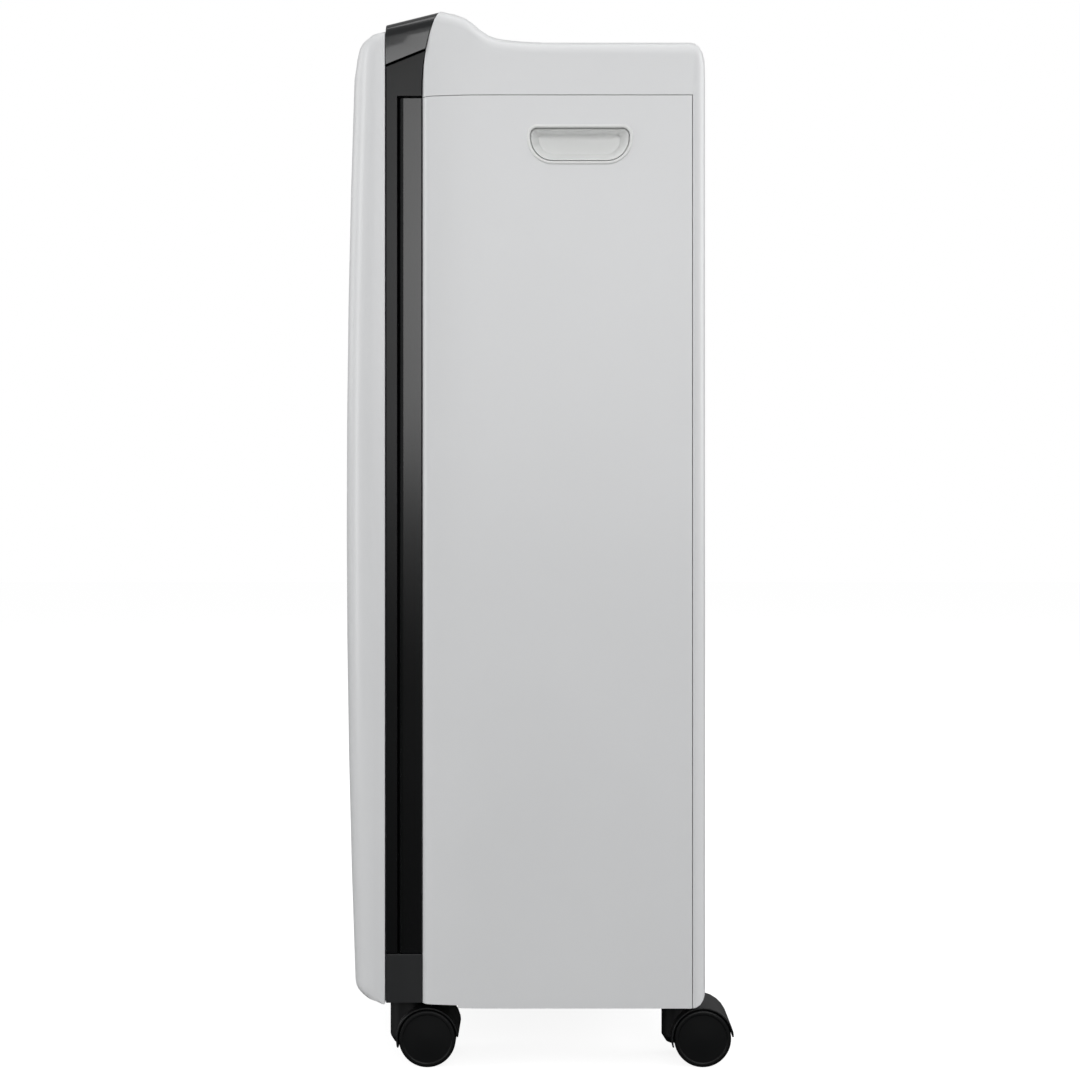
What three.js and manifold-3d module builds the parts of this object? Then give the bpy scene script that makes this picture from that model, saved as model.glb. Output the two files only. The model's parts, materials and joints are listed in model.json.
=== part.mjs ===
// A portable dehumidifier on four twin-wheel casters: a bowed front cover, a black band and a white rear housing.
// Millimetres. +Z up, the front faces -Y, and the origin is on the floor at the middle of the outline.
import * as THREE from "three";
import { mergeVertices } from "three/addons/utils/BufferGeometryUtils.js";
import Module from "manifold-3d";

const wasm = await Module();
wasm.setup();

// ---------------------------------------------------------------- driving dimensions

// Overall
const WIDTH = 380; // across both side panels
const HEIGHT = 740;
const WHEEL_RADIUS = 20;
const WALL = 2.5; // moulded covers
const SEAM = 0.5; // gap between neighbouring covers
const FIT = 0.4; // clearance around a piece that seats in another
const TOUCH = 0.3; // gap between pieces that rest on each other

// Places from front to back
const NOSE_Y = -141; // middle of the bowed front
const BAND_FRONT_Y = -103;
const TRIM_Y = -94; // front edge of the side trims
const BAND_REAR_Y = -77;
const LEAN_Y = -64.5; // front edge of the housing where it meets the top
const REAR_Y = 120.5;
const SIDE_REAR_Y = REAR_Y - 10; // rear edge of the side panels

// Heights
const SKIRT_Z = 2 * WHEEL_RADIUS + 4.5; // lower edge of the housing
const STEP_Z = SKIRT_Z + 2; // lower edge of the front cover, and of the housing just behind the band
const STEP_REAR_Y = -52;
const TRIM_LOW_Z = SKIRT_Z + 36.5;
const SEAM_Z = HEIGHT - 61.7; // seam under the top of the housing
const DECK_Z = HEIGHT - 22.5; // flat top
const FRONT_TOP_Z = HEIGHT - 14;
const CAP_FRONT_Z = HEIGHT - 9.5;
const CAP_SEAM_FRONT_Z = HEIGHT - 40; // lower edge of the control cap at its front
const CAP_SEAM_REAR_Z = HEIGHT - 29.5;

// Roundings
const TOP_ROUND = 12; // along the side edges of the top
const REAR_TOP_ROUND = 12;
const REAR_LOW_ROUND = 11;
const FRONT_NARROWING = 4; // the housing is this much narrower, each side, at the band
const NARROWING_START_Y = -32;
const ROLL = 6; // rolled front edge of the housing
const BAND_INSET = 6; // the black band lies this far inside the widest part, each side
const COVER_INSET = 3; // and the front cover this far
const COVER_WALL = 3;

// Front cover
const FRONT_BOW = 1540; // radius of the front seen from above
const FRONT_CORNER = 22; // its upright corners
const COVER_SLOPE_DROP = 11; // how far its top falls before the front edge
const COVER_LOW_ROUND = 12;
const COVER_END_DEPTH = 0.784; // depth of its ends, as a share of its depth at mid height

// Steps that a curve is divided into
const CURVE = 5;
const ROUND = 16;
const BIG_ROUND = 28;

const halfWidth = WIDTH / 2;

// ---------------------------------------------------------------- materials

function plastic(color, roughness) {
  return new THREE.MeshStandardMaterial({ color, roughness, metalness: 0 });
}

function metal(color, roughness) {
  return new THREE.MeshStandardMaterial({ color, roughness, metalness: 1 });
}

const whiteCover = plastic(0xe4e6e8, 0.32);
const blackGloss = plastic(0x101112, 0.12);
const blackSatin = plastic(0x1b1c1d, 0.35);
const blackTextured = plastic(0x1a1a1b, 0.6);
const greyPlastic = plastic(0x8b8f93, 0.5);
const clearTank = plastic(0xcfd8dc, 0.2);
const foam = plastic(0x3b4046, 0.8);
const boardGreen = plastic(0x1f5a3a, 0.5);
const rubber = plastic(0x2a2b2c, 0.7);
const steel = metal(0xb9bcc0, 0.3);
const aluminium = metal(0xd3d5d8, 0.4);
const copper = metal(0xc27a4e, 0.3);
const blackPaint = plastic(0x202224, 0.3);

// ---------------------------------------------------------------- solids and shapes

/** A closed three.js geometry as a manifold solid. */
function solidOf(geometry) {
  const bare = geometry.clone();
  for (const name of Object.keys(bare.attributes)) {
    if (name !== "position") bare.deleteAttribute(name);
  }
  const merged = mergeVertices(bare, 1e-3);
  return new wasm.Manifold(
    new wasm.Mesh({
      numProp: 3,
      vertProperties: merged.attributes.position.array,
      triVerts: new Uint32Array(merged.index.array),
    }),
  );
}

/** A manifold solid as a three.js geometry. */
function geometryOf(solid) {
  const mesh = solid.getMesh();
  const corners = new Float32Array(mesh.numVert * 3);
  for (let i = 0; i < mesh.numVert; i++) {
    const start = i * mesh.numProp;
    corners.set(mesh.vertProperties.subarray(start, start + 3), i * 3);
  }
  const geometry = new THREE.BufferGeometry();
  geometry.setAttribute("position", new THREE.BufferAttribute(corners, 3));
  geometry.setIndex(new THREE.BufferAttribute(mesh.triVerts, 1));
  return geometry;
}

/** The mirror image of a solid on the other side of the middle plane. */
function mirrored(solid) {
  const geometry = geometryOf(solid).scale(-1, 1, 1);
  geometry.setIndex([...geometry.index.array].reverse());
  return solidOf(geometry);
}

/** One named sub-part. */
function piece(name, solid, material) {
  const geometry = geometryOf(solid).toNonIndexed();
  geometry.computeVertexNormals();
  const mesh = new THREE.Mesh(geometry, material);
  mesh.name = name;
  return mesh;
}

/** The same piece on both sides of the object, made for the right (+X). */
function pair(name, solid, material) {
  return [piece(`${name}_right`, solid, material), piece(`${name}_left`, mirrored(solid), material)];
}

function union(...solids) {
  return solids.reduce((sum, next) => sum.add(next));
}

function cut(solid, ...tools) {
  return tools.reduce((left, tool) => left.subtract(tool), solid);
}

/** A block between two corners. */
function box(x0, x1, y0, y1, z0, z1) {
  const geometry = new THREE.BoxGeometry(x1 - x0, y1 - y0, z1 - z0);
  geometry.translate((x0 + x1) / 2, (y0 + y1) / 2, (z0 + z1) / 2);
  return solidOf(geometry);
}

/** A closed outline pushed along an axis. Across x it lies in Y and Z, across y in X and Z, across z in X and Y. */
function prism(outline, axis, from, to) {
  const shape = new THREE.Shape(outline.map(([a, b]) => new THREE.Vector2(a, b)));
  const geometry = new THREE.ExtrudeGeometry(shape, { depth: to - from, bevelEnabled: false });
  const ex = new THREE.Vector3(1, 0, 0);
  const ey = new THREE.Vector3(0, 1, 0);
  const ez = new THREE.Vector3(0, 0, 1);
  const turn = new THREE.Matrix4();
  if (axis === "x") turn.makeBasis(ey, ez, ex).setPosition(from, 0, 0);
  if (axis === "y") turn.makeBasis(ex, ez, ey.negate()).setPosition(0, to, 0);
  if (axis === "z") turn.setPosition(0, 0, from);
  return solidOf(geometry.applyMatrix4(turn));
}

/** A round bar along an axis, at (a, b) in the other two directions, tapered where the end radius differs. */
function bar(axis, radius, from, to, a, b, sides = ROUND, endRadius = radius) {
  const geometry = new THREE.CylinderGeometry(endRadius, radius, to - from, sides);
  const middle = (from + to) / 2;
  if (axis === "x") geometry.rotateZ(-Math.PI / 2).translate(middle, a, b);
  if (axis === "y") geometry.translate(a, middle, b);
  if (axis === "z") geometry.rotateX(Math.PI / 2).translate(a, b, middle);
  return solidOf(geometry);
}

/** A closed profile of [radius, height] pairs, low end first, turned about an axis through (a, b). */
function turned(axis, profile, a, b, sides = BIG_ROUND) {
  const points = profile.map(([radius, height]) => new THREE.Vector2(radius, height));
  const geometry = new THREE.LatheGeometry(points, sides);
  if (axis === "x") geometry.rotateZ(-Math.PI / 2).translate(0, a, b);
  if (axis === "y") geometry.translate(a, 0, b);
  if (axis === "z") geometry.rotateX(Math.PI / 2).translate(a, b, 0);
  return solidOf(geometry);
}

/** Numbers from one end to the other in equal steps, both ends included. */
function spread(from, to, steps) {
  return Array.from({ length: steps + 1 }, (_, i) => from + ((to - from) * i) / steps);
}

/** Points on an arc about (a, b), between two angles in quarter turns. */
function arc(a, b, radius, from, to, steps = CURVE) {
  return spread(from, to, steps).map((quarter) => {
    const angle = (quarter * Math.PI) / 2;
    return [a + radius * Math.cos(angle), b + radius * Math.sin(angle)];
  });
}

/** A rectangle with rounded corners, whose lower corners may have a radius of their own. */
function roundedOutline(a0, a1, b0, b1, highRadius, lowRadius = highRadius) {
  return [
    ...arc(a1 - highRadius, b1 - highRadius, highRadius, 0, 1),
    ...arc(a0 + highRadius, b1 - highRadius, highRadius, 1, 2),
    ...arc(a0 + lowRadius, b0 + lowRadius, lowRadius, 2, 3),
    ...arc(a1 - lowRadius, b0 + lowRadius, lowRadius, 3, 4),
  ];
}

/** A closed skin over a row of convex rings that all have the same number of points. */
function loft(rings) {
  const count = rings[0].length;
  const faces = [];
  for (let r = 0; r + 1 < rings.length; r++) {
    for (let i = 0; i < count; i++) {
      const a = r * count + i;
      const b = r * count + ((i + 1) % count);
      faces.push(a, b, b + count, a, b + count, a + count);
    }
  }
  const last = (rings.length - 1) * count;
  for (let i = 1; i + 1 < count; i++) {
    faces.push(0, i + 1, i);
    faces.push(last, last + i, last + i + 1);
  }
  const geometry = new THREE.BufferGeometry();
  geometry.setAttribute("position", new THREE.Float32BufferAttribute(rings.flat(2), 3));
  geometry.setIndex(faces);
  return solidOf(geometry);
}

/** A round pipe along a smooth curve through points. */
function pipe(points, radius, steps) {
  const section = new THREE.Shape();
  section.absarc(0, 0, radius, 0, 2 * Math.PI);
  const path = new THREE.CatmullRomCurve3(points.map((p) => new THREE.Vector3(...p)), false, "centripetal");
  const options = { extrudePath: path, steps, curveSegments: 4, bevelEnabled: false };
  return solidOf(new THREE.ExtrudeGeometry(section, options));
}

/** How far a quarter ellipse has fallen at a share of its run: nothing at its crown, all of depth at its end. */
function fall(share, depth) {
  const held = THREE.MathUtils.clamp(share, 0, 1);
  return depth * (1 - Math.sqrt(1 - held * held));
}

// ---------------------------------------------------------------- outer forms

/** The line of the top from the hump at the front down to the flat deck. */
const humpLine = new THREE.SplineCurve([
  new THREE.Vector2(LEAN_Y, HEIGHT),
  new THREE.Vector2(LEAN_Y + 17, HEIGHT - 5.2),
  new THREE.Vector2(LEAN_Y + 33.5, DECK_Z + 5),
  new THREE.Vector2(LEAN_Y + 50, DECK_Z + 1.4),
  new THREE.Vector2(LEAN_Y + 73, DECK_Z),
]);

/** Half the width of the housing at a place from front to back. */
function housingHalf(y) {
  const narrowing = THREE.MathUtils.clamp((NARROWING_START_Y - y) / (NARROWING_START_Y - BAND_REAR_Y), 0, 1);
  const roll = fall((BAND_REAR_Y + ROLL - y) / ROLL, ROLL / 2);
  return halfWidth - FRONT_NARROWING * narrowing ** 2 - roll;
}

/** Places along the rolled and narrowed front of the housing's sides. */
const flankStations = [
  ...spread(BAND_REAR_Y, BAND_REAR_Y + ROLL, 3),
  ...spread(BAND_REAR_Y + ROLL, NARROWING_START_Y, 4).slice(1),
];

/** A cross-section of the body: upright sides that round over into a flat top. */
function archRing(y, half, low, top, round) {
  const right = arc(half - round, top - round, round, 0, 1).map(([x, z]) => [x, y, z]);
  const left = right.map(([x, , z]) => [-x, y, z]).reverse();
  return [[half, y, low], ...right, ...left, [-half, y, low]];
}

/** The rear housing as a solid, taken in by inset on its sides, top, bottom and back. */
function housingForm(inset) {
  const hump = humpLine.getPoints(12).map((point) => [point.x, point.y]);
  const front = [BAND_REAR_Y, BAND_REAR_Y + 2, BAND_REAR_Y + ROLL].map((y) => [y, HEIGHT]);
  const deck = [...front, ...hump, [SIDE_REAR_Y, DECK_Z]];
  const rearRound = REAR_Y - SIDE_REAR_Y - inset;
  const rear = spread(0, 1, CURVE).slice(1).map((s) => [SIDE_REAR_Y + rearRound * Math.sin((s * Math.PI) / 2), DECK_Z]);
  const rings = [...deck, ...rear].map(([y, top]) => {
    const share = (y - SIDE_REAR_Y) / rearRound;
    const half = housingHalf(y) - inset - fall(share, rearRound);
    const low = SKIRT_Z + inset + fall(share, REAR_LOW_ROUND - inset);
    return archRing(y, half, low, top - inset - fall(share, REAR_TOP_ROUND - inset), TOP_ROUND - inset);
  });
  return loft(rings.map((ring) => ring.reverse()));
}

/** Everything in front of the housing's front edge, which leans back above the seam, moved back by gap. */
function beforeHousing(gap) {
  const lean = new THREE.QuadraticBezierCurve(
    new THREE.Vector2(BAND_REAR_Y + gap, SEAM_Z + 10),
    new THREE.Vector2(BAND_REAR_Y + 1.5 + gap, HEIGHT - 21),
    new THREE.Vector2(LEAN_Y + gap, HEIGHT),
  );
  const edge = lean.getPoints(CURVE).map((point) => [point.x, point.y]);
  const high = HEIGHT + 20;
  const outline = [[BAND_REAR_Y + gap, 0], ...edge, [LEAN_Y + gap, high], [NOSE_Y - 10, high], [NOSE_Y - 10, 0]];
  return prism(outline, "x", -WIDTH, WIDTH);
}

/** The top of the control cap at a place from front to back. */
function capTop(y) {
  return THREE.MathUtils.mapLinear(y, BAND_FRONT_Y, LEAN_Y, CAP_FRONT_Z, HEIGHT);
}

/** Everything above the lower edge of the control cap, moved up by gap. */
function aboveCapEdge(gap) {
  const edge = (y) => THREE.MathUtils.mapLinear(y, BAND_FRONT_Y, BAND_REAR_Y, CAP_SEAM_FRONT_Z, CAP_SEAM_REAR_Z);
  const [front, rear, high] = [NOSE_Y, 0, HEIGHT + 20];
  const outline = [[front, edge(front) + gap], [rear, edge(rear) + gap], [rear, high], [front, high]];
  return prism(outline, "x", -WIDTH, WIDTH);
}

/** The band between front cover and housing, with the control cap, as a solid taken in by inset. */
function bandForm(inset, sideInset = BAND_INSET) {
  const half = halfWidth - sideInset - inset;
  const stations = [BAND_FRONT_Y + SEAM, LEAN_Y];
  const rings = stations.map((y) => archRing(y, half, TRIM_LOW_Z, capTop(y) - inset, TOP_ROUND - inset));
  return loft(rings.map((ring) => ring.reverse()));
}

/** The front cover as a solid that reaches from its rear edge forward, taken in by inset. */
function coverForm(inset, rear) {
  const half = halfWidth - COVER_INSET - inset;
  const depth = BAND_FRONT_Y - NOSE_Y - inset;
  const [low, high] = [STEP_Z + inset, FRONT_TOP_Z - inset];
  const [lowFront, highFront] = [low + COVER_LOW_ROUND, high - COVER_SLOPE_DROP];
  const middle = (lowFront + highFront) / 2;
  const bow = (z) => 1 - (1 - COVER_END_DEPTH) * ((z - middle) / (highFront - middle)) ** 2;
  const stations = [
    ...spread(0, 1, CURVE).map((s) => [lowFront - COVER_LOW_ROUND * (1 - s), 1 - fall(1 - s, 0.8)]),
    ...spread(lowFront, highFront - 20, 8).slice(1).map((z) => [z, 1]),
    [highFront - 12, 0.96],
    [highFront - 5, 0.93],
    [highFront, 0.88],
    [high - 7.4, 0.8],
    [high - 3.2, 0.58],
    [high, 0.1],
  ];
  const rings = stations.map(([z, share]) => {
    const side = half - fall((z - high + TOP_ROUND) / TOP_ROUND, TOP_ROUND * 0.8);
    return coverRing(z, side, depth * share * bow(THREE.MathUtils.clamp(z, lowFront, highFront)), inset, rear);
  });
  return loft(rings);
}

/** The cover's outline seen from above at one height, whose bowed front stands depth ahead of its rear edge. */
function coverRing(z, half, depth, inset, rear) {
  const corner = FRONT_CORNER - inset;
  const reach = half - corner;
  const bow = FRONT_BOW - inset;
  const lean = Math.asin(reach / (bow - corner));
  const cornerY = bow - (bow - corner) * Math.cos(lean);
  const deepest = BAND_FRONT_Y - NOSE_Y - inset;
  const shrink = depth / deepest;
  const corners = spread(0, Math.PI / 2 - lean, CURVE).map((angle) => [
    reach + corner * Math.cos(angle),
    cornerY - corner * Math.sin(angle),
  ]);
  const front = spread(lean, -lean, 10)
    .slice(1, -1)
    .map((angle) => [bow * Math.sin(angle), bow - bow * Math.cos(angle)]);
  const mirroredCorners = corners.map(([x, y]) => [-x, y]).reverse();
  const outline = [...corners, ...front, ...mirroredCorners].map(([x, y]) => [
    x,
    BAND_FRONT_Y - (deepest - y) * shrink,
    z,
  ]);
  return [[half, rear, z], ...outline, [-half, rear, z]].reverse();
}

// ---------------------------------------------------------------- carry handles

const HANDLE_Y = 32.7;
const HANDLE_Z = SEAM_Z - 34.6; // middle of the recess
const HANDLE_WIDTH = 69.3;
const HANDLE_HEIGHT = 23.2;
const HANDLE_HIGH_CORNER = 5;
const HANDLE_LOW_CORNER = 16;
const HANDLE_DEPTH = 12;
const HANDLE_DRAFT = 3.5; // how far its walls lean in
const HANDLE_RIM = 2.2;
const HANDLE_PROUD = 0.8;

/** The outline of a carry handle's recess in Y and Z, grown on every side. */
function handleOutline(grow) {
  return roundedOutline(
    HANDLE_Y - HANDLE_WIDTH / 2 - grow,
    HANDLE_Y + HANDLE_WIDTH / 2 + grow,
    HANDLE_Z - HANDLE_HEIGHT / 2 - grow,
    HANDLE_Z + HANDLE_HEIGHT / 2 + grow,
    HANDLE_HIGH_CORNER + grow,
    HANDLE_LOW_CORNER + grow,
  );
}

/** A tapering plug of the recess's shape. */
function handlePlug(grow, floor, face) {
  const ring = (x, more) => handleOutline(grow + more).map(([y, z]) => [x, y, z]);
  return loft([ring(floor, -HANDLE_DRAFT), ring(face, 0)]);
}

function handleCup() {
  const face = halfWidth + HANDLE_PROUD;
  const floor = halfWidth - HANDLE_DEPTH;
  const rim = prism(handleOutline(HANDLE_RIM), "x", halfWidth + TOUCH, face);
  const cup = handlePlug(HANDLE_RIM / 2, floor - WALL, halfWidth + TOUCH);
  return cut(union(rim, cup), handlePlug(0, floor, face + 0.5));
}

// ---------------------------------------------------------------- covers

// Openings in the back: the intake above, the bucket below
const BUCKET_LOW = SKIRT_Z + 21.5;
const BUCKET_HEIGHT = 139;
const BUCKET_HIGH = BUCKET_LOW + BUCKET_HEIGHT;
const BAY_HIGH = BUCKET_HIGH + 87; // leaves room for the bucket's handle to swing up
const INTAKE = { half: halfWidth - 40, low: BAY_HIGH + 43, high: SEAM_Z - 38.3, round: 10 };
const SEAT = 6; // ledge behind the edge of the intake door
const DOOR_WALL = 3;
const BUCKET = {
  left: -30,
  right: halfWidth - 24,
  front: -62,
  rear: REAR_Y - 12.5,
  low: BUCKET_LOW,
  high: BUCKET_HIGH,
  round: 14,
};
const BEZEL = { left: BUCKET.left - 6, right: BUCKET.right + 6, low: BUCKET_LOW - 12, high: BAY_HIGH, round: 8 };
const INLET = { x: 80 - halfWidth, z: SKIRT_Z + 59.5, width: 50, height: 30 };
const DRAIN = { x: 70 - halfWidth, z: BAY_HIGH - 7, radius: 8 };

// Air outlet in the top
const OUTLET = { half: halfWidth - 55, front: 14, rear: REAR_Y - 28.5 };

/** The top and the back of the housing, in one moulding. */
function rearHousing() {
  const shell = cut(housingForm(0), housingForm(WALL), beforeHousing(0));
  const frontOpening = box(-halfWidth + 30, halfWidth - 30, BAND_REAR_Y - 5, BAND_REAR_Y + 20, 0, SEAM_Z + 18);
  const sides = box(-WIDTH, WIDTH, NOSE_Y, SIDE_REAR_Y + SEAM, 0, SEAM_Z);
  const { half, low, high, round } = INTAKE;
  const seatRear = REAR_Y - DOOR_WALL - TOUCH;
  const seat = prism(
    roundedOutline(-half - SEAT, half + SEAT, low - SEAT, high + SEAT, round + SEAT),
    "y",
    seatRear - WALL,
    REAR_Y - 1,
  );
  const doorway = prism(roundedOutline(-half, half, low, high, round), "y", seatRear, REAR_Y + 5);
  const hatch = roundedOutline(-half + SEAT, half - SEAT, low + SEAT, high - SEAT, round);
  const intake = prism(hatch, "y", seatRear - 10, REAR_Y + 5);
  const bucketEdge = roundedOutline(BEZEL.left, BEZEL.right, BEZEL.low, BEZEL.high, BEZEL.round);
  const bay = prism(bucketEdge, "y", SIDE_REAR_Y - 5, REAR_Y + 5);
  const [inletHalf, inletTall] = [INLET.width / 2, INLET.height / 2];
  const inletEdge = [INLET.x - inletHalf, INLET.x + inletHalf, INLET.z - inletTall, INLET.z + inletTall];
  const inlet = box(inletEdge[0], inletEdge[1], SIDE_REAR_Y, REAR_Y + 5, inletEdge[2], inletEdge[3]);
  const drain = bar("y", DRAIN.radius, SIDE_REAR_Y, REAR_Y + 5, DRAIN.x, DRAIN.z);
  const outlet = box(-OUTLET.half, OUTLET.half, OUTLET.front, OUTLET.rear, DECK_Z - 10, DECK_Z + 5);
  return cut(union(cut(shell, sides, frontOpening), seat), doorway, intake, bay, inlet, drain, outlet);
}

/** A side panel: a sheet with a rolled front edge and a turned-in hem, with the hole for its handle. */
function sidePanel() {
  const [rear, top] = [SIDE_REAR_Y, SEAM_Z - SEAM];
  const outer = [...flankStations, rear].map((y) => [housingHalf(y), y]);
  const inner = [...outer].reverse().map(([x, y]) => [x - WALL, y]);
  const lip = 12;
  const sheet = prism([...outer, ...inner], "z", SKIRT_Z, top);
  const front = housingHalf(BAND_REAR_Y);
  const foldLow = BASE.low + BASE.thick + BASE.rim + 2;
  const fold = box(front - lip, front - WALL / 2, BAND_REAR_Y, BAND_REAR_Y + WALL, foldLow, top);
  const hem = box(halfWidth - 5, halfWidth - 1, STEP_REAR_Y + 20, rear, SKIRT_Z, SKIRT_Z + WALL);
  const step = box(0, WIDTH, BAND_REAR_Y - 1, STEP_REAR_Y, 0, STEP_Z);
  const hole = handlePlug(HANDLE_RIM / 2 + FIT, halfWidth - HANDLE_DEPTH, halfWidth + TOUCH);
  return cut(union(sheet, fold, hem), step, hole, prism(handleOutline(HANDLE_RIM / 2 + FIT), "x", halfWidth, WIDTH));
}

/** The bowed front cover, open at the back. */
function frontCover() {
  return cut(coverForm(0, BAND_FRONT_Y), coverForm(COVER_WALL, BAND_FRONT_Y + 5));
}

/** The black frame behind the front cover, with cheeks that reach back under the control cap. */
function frontFrame() {
  const border = 16;
  const half = halfWidth - BAND_INSET;
  const whole = cut(bandForm(0), aboveCapEdge(-SEAM));
  const front = box(-half - 1, half + 1, BAND_FRONT_Y, TRIM_Y - SEAM, TRIM_LOW_Z, HEIGHT);
  const cheeks = box(-half - 1, half + 1, TRIM_Y - 1, LEAN_Y, SEAM_Z + SEAM, HEIGHT);
  const window = box(-half + border, half - border, NOSE_Y, 0, TRIM_LOW_Z + border, SEAM_Z - border);
  const behind = box(-half + COVER_WALL, half - COVER_WALL, TRIM_Y - SEAM, 0, SEAM_Z - 5, HEIGHT);
  return cut(whole.intersect(union(front, cheeks)).intersect(beforeHousing(-SEAM)), window, behind);
}

/** A glossy strip between the front frame and the side panel. */
function sideTrim() {
  const half = halfWidth - BAND_INSET;
  const [front, rear] = [TRIM_Y, BAND_REAR_Y - SEAM];
  const outer = [[half, rear], ...arc(half - 4, front + 4, 4, 4, 3, CURVE), [half - 14, front]];
  const inner = [[half - 14, front + WALL], [half - WALL, front + WALL], [half - WALL, rear]];
  return prism([...outer, ...inner], "z", TRIM_LOW_Z, SEAM_Z - SEAM);
}

/** The trim across the bottom between the front cover and the housing, around the front of the base. */
function baseTrim() {
  const half = halfWidth - BAND_INSET;
  const [front, rear] = [BAND_FRONT_Y + SEAM, BAND_REAR_Y - SEAM];
  const outer = box(-half, half, front, rear, STEP_Z, TRIM_LOW_Z - SEAM);
  const reach = half - COVER_WALL;
  const hollow = box(-reach, reach, front + COVER_WALL, rear + 1, STEP_Z - 1, TRIM_LOW_Z);
  return cut(outer, hollow);
}

// ---------------------------------------------------------------- control cap

const CAP_WALL = 3;
const DISPLAY = { half: 31, depth: 9, thick: 2 };
const BUTTON = { radius: 7.5, flange: 9, travel: 0.8, proud: 0.5 };
const BUTTONS = { power_button: -106, mode_button: -78, timer_button: -50, lower_button: 54, raise_button: 82 };
const BOARD = { half: 118, depth: 7, ahead: 4, thick: 1.6, drop: 11 };

const capSlope = Math.atan2(HEIGHT - CAP_FRONT_Z, LEAN_Y - BAND_FRONT_Y);
const capMiddleY = (BAND_FRONT_Y + LEAN_Y) / 2;

/** Places a solid, made level with its top at zero, on the sloping face of the control cap. */
function onCap(solid) {
  const geometry = geometryOf(solid);
  geometry.rotateX(capSlope).translate(0, capMiddleY, capTop(capMiddleY));
  return solidOf(geometry);
}

/** The control cap: a glossy strip across the top front, with holes for the display and the buttons. */
function controlPanel() {
  const outside = bandForm(0, COVER_INSET).intersect(beforeHousing(-SEAM)).intersect(aboveCapEdge(0));
  const hollow = bandForm(CAP_WALL, COVER_INSET).intersect(beforeHousing(-SEAM - CAP_WALL));
  const ahead = box(-WIDTH, WIDTH, NOSE_Y, BAND_FRONT_Y + SEAM + CAP_WALL, 0, HEIGHT + 20);
  const { half, depth } = DISPLAY;
  const window = onCap(box(-half - FIT, half + FIT, -depth - FIT, depth + FIT, -CAP_WALL * 2, 5));
  const holes = Object.values(BUTTONS).map((x) => {
    return onCap(bar("z", BUTTON.radius + FIT, -CAP_WALL * 2, 5, x, 0));
  });
  return cut(outside, cut(hollow, ahead), window, ...holes);
}

function displayWindow() {
  const { half, depth, thick } = DISPLAY;
  return onCap(prism(roundedOutline(-half, half, -depth, depth, 2), "z", -thick, 0));
}

function controlBoard() {
  const { half, depth, ahead, thick, drop } = BOARD;
  return onCap(box(-half, half, -depth - ahead, depth - ahead, -drop - thick, -drop));
}

/** A button whose flange lies under the cap. */
function button(x) {
  const under = -CAP_WALL - BUTTON.travel - TOUCH;
  const head = bar("z", BUTTON.radius, under, BUTTON.proud, x, 0);
  const flange = bar("z", BUTTON.flange, under - 1.5, under, x, 0);
  return onCap(union(head, flange));
}

// ---------------------------------------------------------------- air outlet and intake

const FLAP_THICK = 2.5;
const GRILLE = { low: DECK_Z - 12.5, high: DECK_Z - 7.5, slat: 2, pitch: 8.6 };

/** The flap that closes the outlet, hinged along its rear edge. */
function louverFlap() {
  const gap = 0.8;
  const [front, rear] = [OUTLET.front + gap, OUTLET.rear - gap];
  const leaf = box(-OUTLET.half + gap, OUTLET.half - gap, front, rear - 3, DECK_Z - FLAP_THICK, DECK_Z);
  const barrel = bar("x", 2, -OUTLET.half + gap, OUTLET.half - gap, rear - 3, DECK_Z - 2, 12);
  return union(leaf, barrel);
}

/** The grille of slats under the outlet flap. */
function outletGrille() {
  const { low, high, slat, pitch } = GRILLE;
  const [half, front, rear] = [OUTLET.half - FIT, OUTLET.front + FIT, OUTLET.rear - FIT];
  const border = 4;
  const first = front + border;
  const count = Math.floor((rear - front - 2 * border + slat) / pitch);
  const slots = spread(0, count - 1, count - 1).flatMap((i) => {
    const start = first + i * pitch;
    return [-1, 1].map((side) => {
      const ends = [side * 2, side * (half - border)].sort((a, b) => a - b);
      return box(ends[0], ends[1], start, start + pitch - slat, low - 1, high + 1);
    });
  });
  return cut(box(-half, half, front, rear, low, high), ...slots);
}

/** The door over the intake: a frame with level slats. */
function intakeGrille() {
  const gap = FIT;
  const { half, low, high, round } = INTAKE;
  const [left, right] = [-half + gap, half - gap];
  const front = REAR_Y - DOOR_WALL;
  const plate = prism(roundedOutline(left, right, low + gap, high - gap, round - gap), "y", front, REAR_Y);
  const [border, slots, slat] = [16, 16, 7];
  const pitch = (high - low - 2 * border + slat) / slots;
  const cuts = spread(0, slots - 1, slots - 1).flatMap((i) => {
    const start = low + border + i * pitch;
    return [-1, 1].map((side) => {
      const ends = [side * 3, side * (half - border)].sort((a, b) => a - b);
      return box(ends[0], ends[1], front - 1, REAR_Y + 1, start, start + pitch - slat);
    });
  });
  return cut(plate, ...cuts);
}

/** The filter that clips into the intake door. */
function airFilter() {
  const inset = SEAT + 1;
  const { half, low, high, round } = INTAKE;
  const rear = REAR_Y - DOOR_WALL - TOUCH;
  const outline = roundedOutline(-half + inset, half - inset, low + inset, high - inset, round);
  return prism(outline, "y", rear - 7, rear);
}

// ---------------------------------------------------------------- inside

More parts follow.
